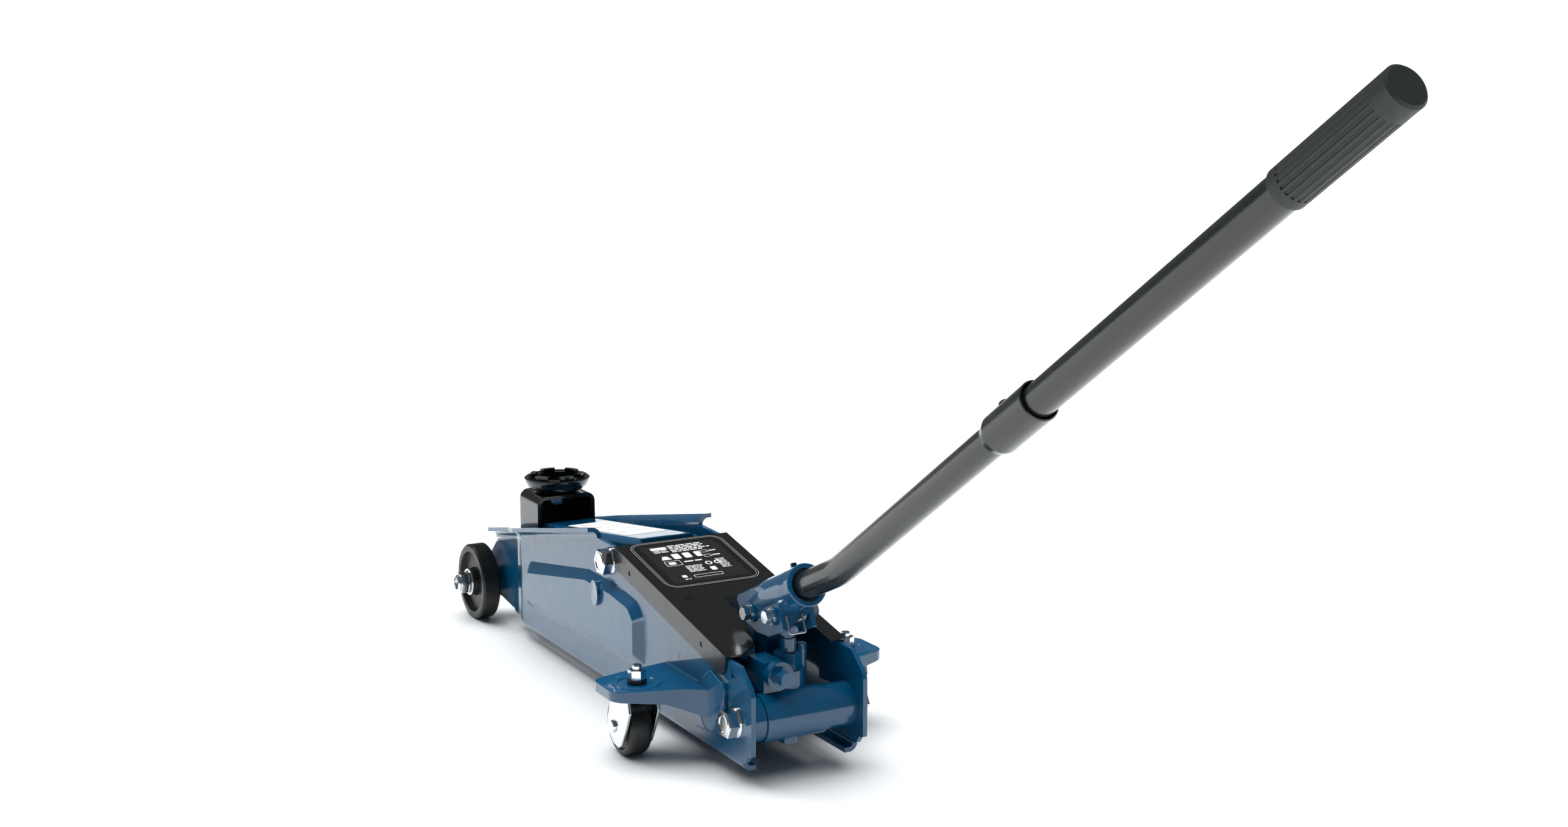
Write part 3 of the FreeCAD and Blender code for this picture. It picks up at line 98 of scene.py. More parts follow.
def add_prism(bm, outline, low, high, matrix):
    """Closed prism over a flat outline, from height low to high in the matrix's own frame."""
    bottom = [bm.verts.new(matrix @ Vector((x, y, low))) for x, y in outline]
    top = [bm.verts.new(matrix @ Vector((x, y, high))) for x, y in outline]
    bm.faces.new(list(reversed(bottom)))
    bm.faces.new(top)
    count = len(outline)
    for index in range(count):
        after = (index + 1) % count
        bm.faces.new([bottom[index], bottom[after], top[after], top[index]])


def add_ring(bm, outer, inner, low, high, matrix):
    """Closed flat ring between two outlines with the same number of points."""
    count = len(outer)
    rows = []
    for outline, height in ((outer, low), (outer, high), (inner, high), (inner, low)):
        rows.append([bm.verts.new(matrix @ Vector((x, y, height))) for x, y in outline])
    for index in range(count):
        after = (index + 1) % count
        for row in range(4):
            across = rows[(row + 1) % 4]
            bm.faces.new([rows[row][index], rows[row][after], across[after], across[index]])


def rounded_box(width, height, radius, x=0.0, y=0.0, steps=6):
    """Outline of a rectangle with round corners, about the centre x, y."""
    points = []
    for corner in range(4):
        angle = math.pi / 2 * corner
        sign_x = 1 if corner in (0, 3) else -1
        sign_y = 1 if corner in (0, 1) else -1
        cx = x + sign_x * (width / 2 - radius)
        cy = y + sign_y * (height / 2 - radius)
        for step in range(steps + 1):
            turn = angle + math.pi / 2 * step / steps
            points.append((cx + radius * math.cos(turn), cy + radius * math.sin(turn)))
    return points


def circle(radius, sides):
    """Evenly spaced points x, y on a circle."""
    angles = [2 * math.pi * spoke / sides for spoke in range(sides)]
    return [(radius * math.cos(angle), radius * math.sin(angle)) for angle in angles]


def add_tube(bm, points, radii, sides=10):
    """Round tube along points, with a radius at each one and flat ends."""
    rings = []
    normal = None
    for index, point in enumerate(points):
        before = points[max(index - 1, 0)]
        after = points[min(index + 1, len(points) - 1)]
        along = (after - before).normalized()
        if normal is None:
            normal = along.orthogonal().normalized()
        normal = (normal - along * normal.dot(along)).normalized()
        side = along.cross(normal)
        rings.append([bm.verts.new(point + normal * x + side * y) for x, y in circle(radii[index], sides)])
    for ring, onward in zip(rings, rings[1:]):
        for spoke in range(sides):
            after = (spoke + 1) % sides
            bm.faces.new([ring[spoke], ring[after], onward[after], onward[spoke]])
    bm.faces.new(list(reversed(rings[0])))
    bm.faces.new(rings[-1])


def add_lathe(bm, profile, matrix, sides=32):
    """Turned solid about the matrix's z axis; profile holds (radius, height), both ends on the axis."""
    rings = []
    for radius, height in profile:
        if radius == 0:
            rings.append([bm.verts.new(matrix @ Vector((0, 0, height)))])
        else:
            rings.append([bm.verts.new(matrix @ Vector((x, y, height))) for x, y in circle(radius, sides)])
    for lower, upper in zip(rings, rings[1:]):
        for spoke in range(sides):
            after = (spoke + 1) % sides
            corners = [lower[spoke % len(lower)], lower[after % len(lower)],
                       upper[after % len(upper)], upper[spoke % len(upper)]]
            unique = list(dict.fromkeys(corners))
            if len(unique) > 2:
                bm.faces.new(unique)


def surface(node, x, y):
    """Highest point of a CAD node above x, y (metres), and the surface's normal there."""
    cad = frame["nodes"][node]
    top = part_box(node)[1].z + 0.01
    hit, point, normal, _ = cad.ray_cast(Vector((x, y, top)), Vector((0, 0, -1)))
    assert hit, f"nothing of {node} at {x}, {y}"
    return point, normal


def sheet_frame(node, centre_x, length_x):
    """Matrix whose x runs forward along a sloping top face, y to the left and z out of it."""
    rear, normal = surface(node, centre_x - length_x / 2, 0)
    front, _ = surface(node, centre_x + length_x / 2, 0)
    ahead = (front - rear).normalized()
    left = Vector((0, 1, 0))
    out = ahead.cross(left).normalized()
    matrix = Matrix((ahead, left, out)).transposed().to_4x4()
    matrix.translation = (front + rear) / 2
    return matrix


# ---- materials -------------------------------------------------------------------------------
def new_material(name):
    """Empty node material: returns it, its node tree and its main shader."""
    material = bpy.data.materials.new(name)
    material.use_nodes = True
    tree = material.node_tree
    return material, tree, tree.nodes["Principled BSDF"]


def object_noise(tree, scale, detail=3.0):
    """Noise over the object's own surface, scale in cells per metre."""
    coordinates = tree.nodes.new("ShaderNodeTexCoord")
    noise = tree.nodes.new("ShaderNodeTexNoise")
    noise.inputs["Scale"].default_value = scale
    noise.inputs["Detail"].default_value = detail
    tree.links.new(coordinates.outputs["Object"], noise.inputs["Vector"])
    return noise.outputs["Fac"]


def blend_colours(tree, factor, low, high, socket):
    """Drive a colour socket between two colours."""
    mix = tree.nodes.new("ShaderNodeMix")
    mix.data_type = "RGBA"
    mix.inputs["A"].default_value = (*low, 1)
    mix.inputs["B"].default_value = (*high, 1)
    tree.links.new(factor, mix.inputs["Factor"])
    tree.links.new(mix.outputs["Result"], socket)


def spread(tree, factor, low, high, socket):
    """Drive a number socket between two values."""
    ramp = tree.nodes.new("ShaderNodeMapRange")
    ramp.inputs["From Min"].default_value = 0.3
    ramp.inputs["From Max"].default_value = 0.7
    ramp.inputs["To Min"].default_value = low
    ramp.inputs["To Max"].default_value = high
    tree.links.new(factor, ramp.inputs["Value"])
    tree.links.new(ramp.outputs["Result"], socket)


def bump(tree, shader, factor, strength, distance):
    """Small relief on a shader's normal."""
    relief = tree.nodes.new("ShaderNodeBump")
    relief.inputs["Strength"].default_value = strength
    relief.inputs["Distance"].default_value = distance
    tree.links.new(factor, relief.inputs["Height"])
    tree.links.new(relief.outputs["Normal"], shader.inputs["Normal"])


def enamel(name, dark, light, roughness, coat_ior, coat_roughness):
    """Sprayed enamel: slight shade changes, orange peel under a clear gloss."""
    material, tree, shader = new_material(name)
    shader.inputs["Specular IOR Level"].default_value = 0.2
    blend_colours(tree, object_noise(tree, 14), dark, light, shader.inputs["Base Color"])
    spread(tree, object_noise(tree, 60), roughness * 0.85, roughness * 1.15, shader.inputs["Roughness"])
    shader.inputs["Coat Weight"].default_value = 1.0
    shader.inputs["Coat Roughness"].default_value = coat_roughness
    shader.inputs["Coat IOR"].default_value = coat_ior
    bump(tree, shader, object_noise(tree, 900, 1.0), 0.08, 0.0002)
    return material


def powder_coat(name, dark, light, roughness, grain, coat):
    """Powder coat: fine grain and a satin sheen."""
    material, tree, shader = new_material(name)
    blend_colours(tree, object_noise(tree, 30), dark, light, shader.inputs["Base Color"])
    spread(tree, object_noise(tree, 120), roughness - 0.04, roughness + 0.04, shader.inputs["Roughness"])
    shader.inputs["Coat Weight"].default_value = coat
    shader.inputs["Coat Roughness"].default_value = 0.12
    bump(tree, shader, object_noise(tree, 2600, 2.0), grain, 0.0002)
    return material


def moulded_plastic(name, dark, light, roughness, grain):
    """Moulded plastic with a spark-eroded grain."""
    material, tree, shader = new_material(name)
    blend_colours(tree, object_noise(tree, 40), dark, light, shader.inputs["Base Color"])
    spread(tree, object_noise(tree, 200), roughness - 0.05, roughness + 0.05, shader.inputs["Roughness"])
    bump(tree, shader, object_noise(tree, 3500, 2.0), grain, 0.0002)
    return material


def plated_metal(name, dark, light, low_rough, high_rough):
    """Plated or ground metal: cloudy shade, fine uneven polish."""
    material, tree, shader = new_material(name)
    shader.inputs["Metallic"].default_value = 1.0
    blend_colours(tree, object_noise(tree, 90), dark, light, shader.inputs["Base Color"])
    spread(tree, object_noise(tree, 350), low_rough, high_rough, shader.inputs["Roughness"])
    bump(tree, shader, object_noise(tree, 1800, 2.0), 0.06, 0.0001)
    return material


def printed_film(name, dark, light, roughness):
    """Printed plastic film of a label."""
    material, tree, shader = new_material(name)
    blend_colours(tree, object_noise(tree, 120), dark, light, shader.inputs["Base Color"])
    spread(tree, object_noise(tree, 400), roughness - 0.03, roughness + 0.03, shader.inputs["Roughness"])
    return material


BLUE = enamel("blue_enamel", (0.001, 0.068, 0.160), (0.001, 0.080, 0.188), 0.34, 1.6, 0.04)
GLOSS_BLACK = enamel("black_enamel", (0.003, 0.004, 0.005), (0.006, 0.007, 0.008), 0.25, 1.45, 0.05)
SATIN_BLACK = powder_coat("black_powder_coat", (0.003, 0.003, 0.003), (0.005, 0.005, 0.005), 0.34, 0.05,
                          0.45)
HANDLE = powder_coat("graphite_powder_coat", (0.010, 0.012, 0.012), (0.014, 0.016, 0.016), 0.26, 0.02, 0.5)
GRIP = moulded_plastic("grip_plastic", (0.018, 0.021, 0.022), (0.026, 0.029, 0.030), 0.5, 0.16)
WHEEL = moulded_plastic("wheel_nylon", (0.003, 0.0035, 0.004), (0.006, 0.007, 0.007), 0.38, 0.10)
ZINC = plated_metal("zinc_plate", (0.74, 0.76, 0.78), (0.88, 0.89, 0.90), 0.08, 0.20)
STEEL = plated_metal("ground_steel", (0.50, 0.51, 0.53), (0.62, 0.63, 0.65), 0.20, 0.34)
RUBBER = moulded_plastic("seal_rubber", (0.010, 0.010, 0.010), (0.018, 0.018, 0.018), 0.65, 0.2)
FILM_BLACK = printed_film("label_film_black", (0.004, 0.004, 0.004), (0.006, 0.006, 0.006), 0.3)
FILM_GREY = printed_film("label_film_grey", (0.012, 0.012, 0.012), (0.016, 0.016, 0.016), 0.4)
FILM_WHITE = printed_film("label_film_white", (0.80, 0.80, 0.80), (0.88, 0.88, 0.88), 0.45)
FILM_LINE = printed_film("label_line_grey", (0.30, 0.30, 0.31), (0.38, 0.38, 0.39), 0.45)
FILM_PALE = printed_film("label_film_pale", (0.60, 0.62, 0.65), (0.68, 0.70, 0.72), 0.35)

SLOT_MATERIALS = {"blue_paint": BLUE, "gloss_black": GLOSS_BLACK, "satin_black": SATIN_BLACK,
                  "handle_grey": HANDLE, "grip_plastic": GRIP, "wheel_plastic": WHEEL, "zinc": ZINC,
                  "bright_steel": STEEL, "black_rubber": RUBBER}

# Width of the eased edges, in millimetres, by node; the rest get DEFAULT_EDGE.
DEFAULT_EDGE = 0.35
EDGES = {"side_plate_left": 0.7, "side_plate_right": 0.7, "lift_arm": 0.8, "saddle_bracket": 1.0,
         "caster_bracket_left": 1.2, "caster_bracket_right": 1.2, "pump_block": 1.0, "handle_socket": 0.9,
         "cover_plate": 0.4, "saddle": 0.6}


def round_edges(piece, width):
    """Ease a piece's sharp edges, width in millimetres."""
    easing = piece.modifiers.new("eased_edges", "BEVEL")
    easing.width = width * MM
    easing.segments = 2
    easing.limit_method = "ANGLE"
    easing.angle_limit = math.radians(34)
    easing.use_clamp_overlap = True
    easing.miter_outer = "MITER_ARC"
    shading = piece.modifiers.new("shading", "WEIGHTED_NORMAL")
    shading.weight = 60


def finish_cad_nodes():
    """Give every CAD node its slot's material, and ease its edges."""
    slots = {part["node"]: part["material_slot"] for part in frame["record"]["subparts"]}
    for name, node in frame["nodes"].items():
        mesh = node.data
        mesh.materials.clear()
        painted_over = name == "spring_anchor_pins"      # their ends are sprayed with the side plates
        mesh.materials.append(BLUE if painted_over else SLOT_MATERIALS[slots[name]])
        if "custom_normal" in mesh.attributes:
            mesh.attributes.remove(mesh.attributes["custom_normal"])
        mesh.polygons.foreach_set("use_smooth", [True] * len(mesh.polygons))
        weld = node.modifiers.new("weld", "WELD")
        weld.merge_threshold = 0.00001
        flats = node.modifiers.new("flats", "DECIMATE")
        flats.decimate_type = "DISSOLVE"
        flats.angle_limit = math.radians(0.6)
        round_edges(node, EDGES.get(name, DEFAULT_EDGE))


# ---- the label on the cover, in millimetres ---------------------------------------------------
LABEL_SIDE = 92
LABEL_CORNER = 13
LABEL_THICKNESS = 0.25
FIELD_SIZE = (74, 72)
FIELD_THICKNESS = 0.04
PRINT_THICKNESS = 0.06
LINE_WIDTH = 0.55
LABEL_FROM_TOP = 48           # from the cover's front end back to the label's middle


def label_frame():
    """Frame of the label on the cover: x forward along the slope, y left, z out of the sheet."""
    _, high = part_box("cover_plate")
    return sheet_frame("cover_plate", high.x - LABEL_FROM_TOP * MM, 80 * MM) @ MILLIMETRES


def add_block(bm, matrix, size, radius, x, y, base):
    """Plain printed block with round corners, size (along x, along y), about x, y."""
    add_prism(bm, rounded_box(*size, radius, x, y), base, base + PRINT_THICKNESS, matrix)


def add_word_rows(bm, matrix, corner, width, rows, height, pitch, seed, base, ragged=True):
    """Rows of short plain bars that stand for small print, from an upper left corner (x, y)."""
    chance = random.Random(seed)
    top, left = corner
    for row in range(rows):
        x = top - row * pitch
        start = left
        end = left - width * (chance.uniform(0.72, 1.0) if ragged else 1.0)
        while start > end:
            word = chance.uniform(2.2, 6.5) * height
            stop = max(start - word, end)
            if start - stop > height * 0.8:
                bar = rounded_box(height, start - stop, height * 0.25, x, (start + stop) / 2, 2)
                add_prism(bm, bar, base, base + PRINT_THICKNESS, matrix)
            start = stop - height * 0.7


def add_outline(bm, matrix, size, radius, x, y, line, base):
    """Thin outline of a rounded rectangle, size (along x, along y), about x, y."""
    outer = rounded_box(*size, radius, x, y)
    inner = rounded_box(size[0] - 2 * line, size[1] - 2 * line, max(radius - line, 0.1), x, y)
    add_ring(bm, outer, inner, base, base + PRINT_THICKNESS, matrix)


def cover_label():
    """Data plate on the cover, with blank ruled blocks instead of print."""
    matrix = label_frame()
    top = LABEL_THICKNESS
    field = top + FIELD_THICKNESS

    def plate(bm):
        add_prism(bm, rounded_box(LABEL_SIDE, LABEL_SIDE, LABEL_CORNER), 0, top, matrix)

    def middle(bm):
        add_prism(bm, rounded_box(*FIELD_SIZE, 1), top, field, matrix)

    def outlines(bm):
        for inset, line in ((1, LINE_WIDTH), (3, LINE_WIDTH * 0.8)):
            side = LABEL_SIDE - 2 * inset
            add_outline(bm, matrix, (side, side), LABEL_CORNER - inset, 0, 0, line, top)

    def marks(bm):
        # a heading and a paragraph
        add_block(bm, matrix, (5, 15), 0.6, 30.5, 20.5, field)
        add_word_rows(bm, matrix, (26, 27.5), 14, 2, 1.2, 2.6, 5, field)
        add_word_rows(bm, matrix, (33.5, 11), 38, 5, 1.5, 2.9, 11, field)
        # a row of plain shapes, one of them framed
        for centre, size in ((11.5, 7.0), (1.0, 7.0), (-9.5, 5.5)):
            add_block(bm, matrix, (10, size), 1.4, 12.5, centre, field)
        wedge = [(8, 27), (8, 17.5), (14.5, 20), (14.5, 24.5)]
        add_prism(bm, wedge, field, field + PRINT_THICKNESS, matrix)
        add_outline(bm, matrix, (9.5, 15), 0.8, 0, 20, 0.5, field)
        add_block(bm, matrix, (4.6, 7), 1.5, 0, 21, field)
        add_word_rows(bm, matrix, (0.6, 9.5), 17, 1, 2.0, 3, 17, field, False)
        # two framed boxes, each over one bar
        for x in (16, 7):
            add_outline(bm, matrix, (4.5, 7), 0.6, x, -16.5, 0.45, field)
            add_word_rows(bm, matrix, (x, -21), 7.5, 1, 1.6, 3, 19 + x, field, False)
        # two rings and a block
        for y in (-10.5, -19.0):
            add_ring(bm, rounded_box(6.6, 6.6, 3.29, -7, y), rounded_box(4.2, 4.2, 2.09, -7, y), field,
                     field + PRINT_THICKNESS, matrix)
        add_block(bm, matrix, (7, 5.4), 1.4, -18, -10, field)
        # small print, a long box and a last mark
        add_word_rows(bm, matrix, (-8.5, 13), 17, 6, 1.0, 2.2, 23, field)
        add_word_rows(bm, matrix, (-1.5, -19), 10, 9, 0.9, 2.1, 29, field)
        add_outline(bm, matrix, (5, 27), 0.5, -28.5, 0, 0.45, field)
        add_block(bm, matrix, (4.4, 4.4), 0.6, -26.5, 22, field)
        add_word_rows(bm, matrix, (-32, 24), 6, 1, 1.4, 3, 31, field, False)

    mesh_piece("data_plate", plate, FILM_BLACK, "chassis")
    mesh_piece("data_plate_field", middle, FILM_GREY, "chassis")
    mesh_piece("data_plate_outline", outlines, FILM_LINE, "chassis")
    mesh_piece("data_plate_marks", marks, FILM_WHITE, "chassis")


def cover_emboss():
    """Two small slanting ribs pressed out of the cover, below the label."""
    below = Matrix.Translation(Vector((-64, 34, 0)))
    matrix = label_frame() @ below @ Matrix.Rotation(math.radians(45), 4, "Z")
    radii = [radius * MM for radius in (0.35, 0.9, 1.15, 0.9, 0.35)]

    def ribs(bm):
        for shift, length in ((0, 9.0), (3.4, 11.0)):
            shares = (-0.5, -0.35, 0, 0.35, 0.5)
            line = [matrix @ Vector((shift, length * share, -0.2)) for share in shares]
            add_tube(bm, line, radii, 12)

    mesh_piece("cover_ribs", ribs, SATIN_BLACK, "chassis")


# ---- the sticker on the arm, in millimetres ---------------------------------------------------
STICKER_AHEAD = 105           # from the arm's pivot forward to the sticker's middle
STICKER_SIZE = (140, 41)
STICKER_THICKNESS = 0.2
PANEL_PITCH = 30
FIRST_PANEL_X = 52
TEXT_LENGTHS = (20, 23, 18, 21)


def arm_sticker():
    """White sticker on top of the arm, with blank pale blocks instead of pictures and print."""
    middle = place(ARM_PIVOT[0] + STICKER_AHEAD, 0, 0).x
    matrix = sheet_frame("lift_arm", middle, 100 * MM) @ MILLIMETRES
    top = STICKER_THICKNESS

    def sheet(bm):
        add_prism(bm, rounded_box(*STICKER_SIZE, 2.5), 0, top, matrix)

    def marks(bm):
        for index in range(4):
            x = FIRST_PANEL_X - PANEL_PITCH * index
            add_outline(bm, matrix, (25, 17), 1, x, 10, 0.6, top)
            add_block(bm, matrix, (12, 7), 2, x, 10, top)
            for row in range(4):
                length = TEXT_LENGTHS[(row + index) % 4]
                add_block(bm, matrix, (length, 1.5), 0.3, x, -4 - 3.4 * row, top)

    mesh_piece("arm_sticker", sheet, FILM_WHITE, "lift_arm")
    mesh_piece("arm_sticker_marks", marks, FILM_PALE, "lift_arm")


# ---- return springs --------------------------------------------------------------------------
SPRING_WIRE = 1.1 * MM
SPRING_COIL = 4.6 * MM
SPRING_TURNS = 22
SPRING_REAR_EYE = 5.2 * MM
SPRING_FRONT_EYE = 8.6 * MM
SPRING_NECK = 4 * MM          # straight wire between an eye and the coils
SPRING_REAR_PIN = (-452, 76)  # side-view place, in millimetres
CRANK_LENGTH = 56             # millimetres from the arm's pivot down to the springs' front pin
CRANK_BACK = math.radians(25.5)
POINTS_PER_TURN = 14


def return_springs():
    """Two close-wound springs with hooked ends, drawn in one fixed pose; on the jack they stretch as the arm
    lifts.
    """
    low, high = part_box("return_springs")
    side = (high.y - low.y) / 2 - SPRING_COIL - SPRING_WIRE
    rear = place(SPRING_REAR_PIN[0], 0, SPRING_REAR_PIN[1])
    down_crank = Vector((-math.sin(CRANK_BACK), 0, -math.cos(CRANK_BACK)))
    front = place(ARM_PIVOT[0], 0, ARM_PIVOT[1]) + down_crank * CRANK_LENGTH * MM
    along = (front - rear).normalized()
    left = Vector((0, 1, 0))
    up = left.cross(along)
    start = SPRING_REAR_EYE + SPRING_NECK
    stop = (front - rear).length - SPRING_FRONT_EYE - SPRING_NECK

    def eye(centre, radius):
        """Most of a circle of wire round a pin."""
        angles = [math.pi * (0.35 + 1.65 * step / POINTS_PER_TURN) for step in range(POINTS_PER_TURN + 1)]
        return [centre + (up * math.sin(angle) - along * math.cos(angle)) * radius for angle in angles]

    def coils(centre):
        """The close-wound stretch between the two necks."""
        steps = SPRING_TURNS * POINTS_PER_TURN
        line = []
        for step in range(steps + 1):
            angle = 2 * math.pi * step / POINTS_PER_TURN
            middle = centre + along * (start + (stop - start) * step / steps)
            line.append(middle + (up * math.cos(angle) + left * math.sin(angle)) * SPRING_COIL)
        return line

    for name, sign in (("return_spring_left", 1), ("return_spring_right", -1)):
        behind = rear + left * sign * side
        ahead = front + left * sign * side
        points = eye(behind, SPRING_REAR_EYE) + coils(behind) + eye(ahead, SPRING_FRONT_EYE)

        def wire(bm, line=points):
            add_tube(bm, line, [SPRING_WIRE] * len(line), 8)

        spring = mesh_piece(name, wire, STEEL, None)
        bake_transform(spring)
        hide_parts("return_springs")


# ---- weld beads ------------------------------------------------------------------------------
BEAD_PITCH = 1.5 * MM
POINTS_PER_RIPPLE = 4
WELD_Y = 52.9                 # millimetres, just outside a side plate
FOOT_WELD_Y = 54.1
TOP_BEAD_R = 1.15 * MM
SIDE_BEAD_R = 1.3 * MM


def weld_bead(name, first, last, radius):
    """Softly rippled weld bead from one place to another, tapered at both ends."""
    count = max(2, int((last - first).length / (BEAD_PITCH / POINTS_PER_RIPPLE)))
    points = [first.lerp(last, step / count) for step in range(count + 1)]
    radii = []
    for index in range(len(points)):
        from_end = min(index, count - index) / 5
        ripple = 1 + 0.05 * math.cos(2 * math.pi * index / POINTS_PER_RIPPLE)
        radii.append(radius * ripple * min(1.0, 0.25 + from_end))
    mesh_piece(name, lambda bm: add_tube(bm, points, radii, 10), BLUE, "chassis", 80)


def caster_welds():
    """Beads that join the caster brackets to the side plates."""
    for side, sign in (("left", 1), ("right", -1)):
        y = WELD_Y * sign
        foot_y = FOOT_WELD_Y * sign
        weld_bead(f"weld_{side}_top", place(-424.5, y, 65), place(-506, y, 65), TOP_BEAD_R)
        weld_bead(f"weld_{side}_front", place(-423.2, y, 63), place(-423.2, y, 46), SIDE_BEAD_R)
        weld_bead(f"weld_{side}_foot", place(-484, foot_y, 28), place(-533, foot_y, 33.6), SIDE_BEAD_R)


# ---- caster forks, in millimetres -------------------------------------------------------------
CASTER_X = -464.4
CASTER_Y = 98.4
CROWN_LENGTH = 24
CROWN_HEIGHTS = (53.0, 55.8)
LEG_INNER = 11.6              # from the fork's middle to a leg's inner face
LEG_OUTER = 14.4
# A leg's side view (x, z), from the crown's rear end down round the axle and up to its front end.
LEG_OUTLINE = [(-476.4, 55.5), (-479.0, 44.0), (-472.0, 29.0), (-463.0, 13.0), (-457.0, 9.5),
               (-447.0, 11.5), (-437.5, 20.0), (-436.5, 30.0), (-441.0, 44.0), (-452.4, 55.5)]


def caster_forks():
    """Zinc forks with broad legs, in place of the plain ones."""
    drawing = drawn_at(0, 0, 0)
    side_view = drawing @ Matrix(((1, 0, 0, 0), (0, 0, 1, 0), (0, 1, 0, 0), (0, 0, 0, 1)))
    for side, sign in (("left", 1), ("right", -1)):
        middle = sign * CASTER_Y

        def fork(bm, middle=middle):
            for low, high in ((LEG_INNER, LEG_OUTER), (-LEG_OUTER, -LEG_INNER)):
                add_prism(bm, LEG_OUTLINE, middle + low, middle + high, side_view)
            crown = rounded_box(CROWN_LENGTH, 2 * LEG_OUTER, 3, CASTER_X, middle)
            add_prism(bm, crown, *CROWN_HEIGHTS, drawing)

        piece = mesh_piece(f"caster_fork_{side}_broad", fork, ZINC, f"caster_swivel_{side}", 30)
        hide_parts(f"caster_fork_{side}")
        round_edges(piece, 0.6)


# ---- lock nuts, in millimetres ----------------------------------------------------------------
NUT_BASE_Y = 52.8             # outer face of a side plate, with a hair's gap
NUT_FLANGE_R = 12.3
NUT_ACROSS_FLATS = 20.5
SHANK_R = 7.0
SHANK_END_Y = 62.5            # inside the nuts
# Turned section (radius, height) of the collar, with the stud's end set back inside it.
COLLAR = [(0, 9.0), (8.9, 9.0), (8.9, 11.4), (8.5, 12.0), (6.9, 12.1), (6.7, 11.8), (6.7, 10.9), (5.6, 11.2),
          (0, 11.2)]


def add_hexagon(bm, radius, low, high, chamfer, matrix):
    """Hexagonal prism whose far corners are cut back by a chamfer."""
    rings = []
    for size, height in ((radius, low), (radius, high - chamfer), (radius - chamfer, high)):
        rings.append([bm.verts.new(matrix @ Vector((x, y, height))) for x, y in circle(size, 6)])
    bm.faces.new(list(reversed(rings[0])))
    bm.faces.new(rings[2])
    for lower, upper in zip(rings, rings[1:]):
        for corner in range(6):
            after = (corner + 1) % 6
            bm.faces.new([lower[corner], lower[after], upper[after], upper[corner]])


def add_lock_nut(bm, matrix):
    """Flanged nut whose locking collar stands past the stud's end."""
    flange = [(0, 0), (NUT_FLANGE_R, 0), (NUT_FLANGE_R, 1.4), (NUT_FLANGE_R - 0.9, 2.6), (0, 2.6)]
    add_lathe(bm, flange, matrix, 40)
    add_hexagon(bm, NUT_ACROSS_FLATS / math.sqrt(3), 1.9, 11.4, 0.8, matrix)
    add_lathe(bm, COLLAR, matrix, 40)


def frame_nuts():
    """The big nuts of the pivot shaft and the rear bolt, and the bare shanks between them."""
    def nuts(bm):
        for x, z in (ARM_PIVOT, REAR_BOLT):
            for sign in (1, -1):
                add_lock_nut(bm, drawn_at(x, sign * NUT_BASE_Y, z, -90 * sign))

    piece = mesh_piece("frame_lock_nuts", nuts, ZINC, "chassis", 30)
    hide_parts("frame_nuts")
    length = 2 * SHANK_END_Y
    profile = [(0, 0), (SHANK_R, 0), (SHANK_R, length), (0, length)]
    for name, (x, z) in (("arm_pivot_shaft", ARM_PIVOT), ("rear_bolt", REAR_BOLT)):
        def shank(bm, at=drawn_at(x, -SHANK_END_Y, z, -90)):
            add_lathe(bm, profile, at, 40)

        bolt = mesh_piece(f"{name}_shank", shank, ZINC, "chassis", 30)
        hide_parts(name)


# ---- small hardware, in millimetres -----------------------------------------------------------
VALVE_CAP_PLACE = (-536, -14.6, 97)
VALVE_CAP_R = 4.6
VALVE_CAP_HEIGHT = 4.2


def relief_valve_cap():
    """Small hexagon cap on the overload valve's turret."""
    matrix = drawn_at(*VALVE_CAP_PLACE)
    top = VALVE_CAP_HEIGHT

    def cap(bm):
        add_prism(bm, circle(VALVE_CAP_R, 6), 0, top, matrix)
        add_lathe(bm, [(0, top - 0.1), (3.4, top - 0.1), (3.0, top + 0.8), (0, top + 1.2)], matrix)

    mesh_piece("relief_valve_cap", cap, BLUE, "chassis")


# ---- floor, light and camera -----------------------------------------------------------------
ROOM_GLOW = 0.12

# name, the direction it shines from, its spread in degrees, its strength and whether it makes highlights
LIGHTS = (("key_light", (0.45, 0.35, 1.2), 55, 1.9, False),
          ("top_light", (0.1, -0.3, 1.5), 75, 2.5, False),
          ("softbox", (0.8, 0.55, 0.85), 16, 0.35, True))


def studio_floor():
    """Plain pale floor, wide enough to run out of sight."""
    mesh = bpy.data.meshes.new("studio_floor")
    bm = bmesh.new()
    bmesh.ops.create_circle(bm, cap_ends=True, segments=96, radius=40)
    bm.to_mesh(mesh)
    bm.free()
    floor = bpy.data.objects.new("studio_floor", mesh)
    scene.collection.objects.link(floor)
    material, tree, shader = new_material("studio_floor_paint")
    blend_colours(tree, object_noise(tree, 0.8), (0.88, 0.90, 0.905), (0.90, 0.915, 0.92),
                  shader.inputs["Base Color"])
    shader.inputs["Roughness"].default_value = 0.7
    mesh.materials.append(material)


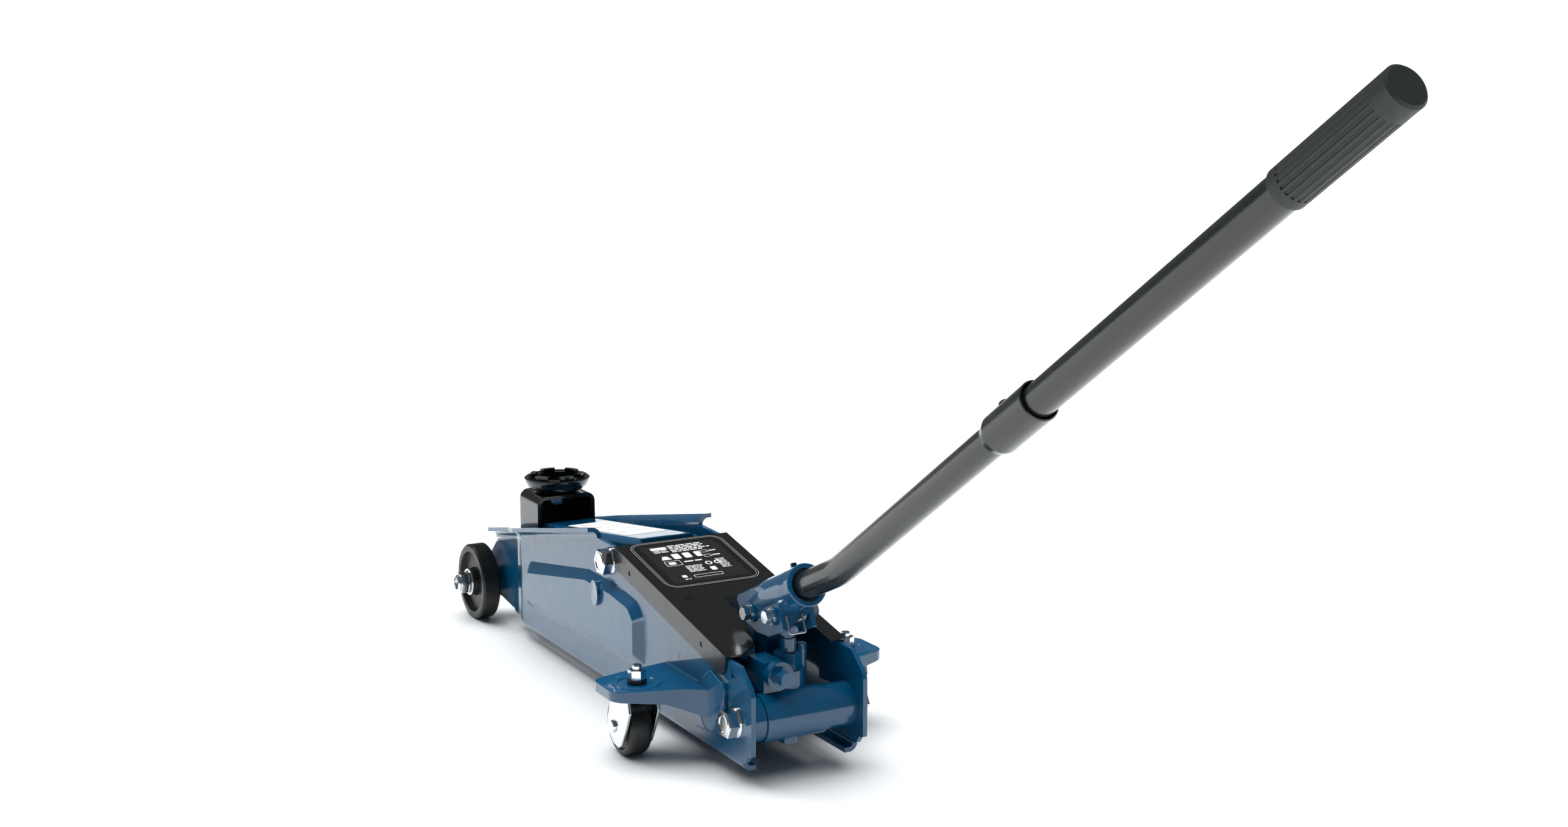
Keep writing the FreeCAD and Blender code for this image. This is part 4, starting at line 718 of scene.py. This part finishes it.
def studio_room():
    """Dim room that the camera sees as a white backdrop."""
    world = bpy.data.worlds.new("studio_world")
    scene.world = world
    world.use_nodes = True
    nodes = world.node_tree.nodes
    links = world.node_tree.links
    dim = nodes["Background"]
    dim.inputs["Color"].default_value = (0.90, 0.96, 1.0, 1)
    dim.inputs["Strength"].default_value = ROOM_GLOW
    white = nodes.new("ShaderNodeBackground")
    white.inputs["Color"].default_value = (1, 1, 1, 1)
    white.inputs["Strength"].default_value = 1.0
    rays = nodes.new("ShaderNodeLightPath")
    choice = nodes.new("ShaderNodeMixShader")
    links.new(rays.outputs["Is Camera Ray"], choice.inputs["Fac"])
    links.new(dim.outputs["Background"], choice.inputs[1])
    links.new(white.outputs["Background"], choice.inputs[2])
    links.new(choice.outputs["Shader"], nodes["World Output"].inputs["Surface"])


def studio_lights():
    """Two broad soft lights, and a narrower one for the highlights."""
    for name, from_where, spread_degrees, strength, shines in LIGHTS:
        light = bpy.data.lights.new(name, "SUN")
        light.angle = math.radians(spread_degrees)
        light.energy = strength
        lamp = bpy.data.objects.new(name, light)
        scene.collection.objects.link(lamp)
        lamp.location = from_where
        lamp.rotation_euler = Vector(from_where).to_track_quat("Z", "Y").to_euler()
        lamp.visible_glossy = shines


CAMERA_PLACE = (-1944.94, 775.72, 583.10)
CAMERA_AIM = Vector((0.86217, -0.47400, -0.17887))
LENS = 47.64


def camera():
    """The camera, where the view of the jack was taken from."""
    lens = bpy.data.cameras.new("camera")
    lens.lens = LENS
    lens.sensor_width = 36
    lens.clip_start = 0.01
    eye = bpy.data.objects.new("camera", lens)
    scene.collection.objects.link(eye)
    eye.location = place(*CAMERA_PLACE)
    eye.rotation_euler = CAMERA_AIM.to_track_quat("-Z", "Y").to_euler()
    scene.camera = eye


scene.view_settings.view_transform = "Standard"
camera()
studio_floor()
studio_room()
studio_lights()
finish_cad_nodes()
cover_label()
cover_emboss()
arm_sticker()
return_springs()
caster_forks()
frame_nuts()
caster_welds()
relief_valve_cap()

bpy.context.view_layer.update()
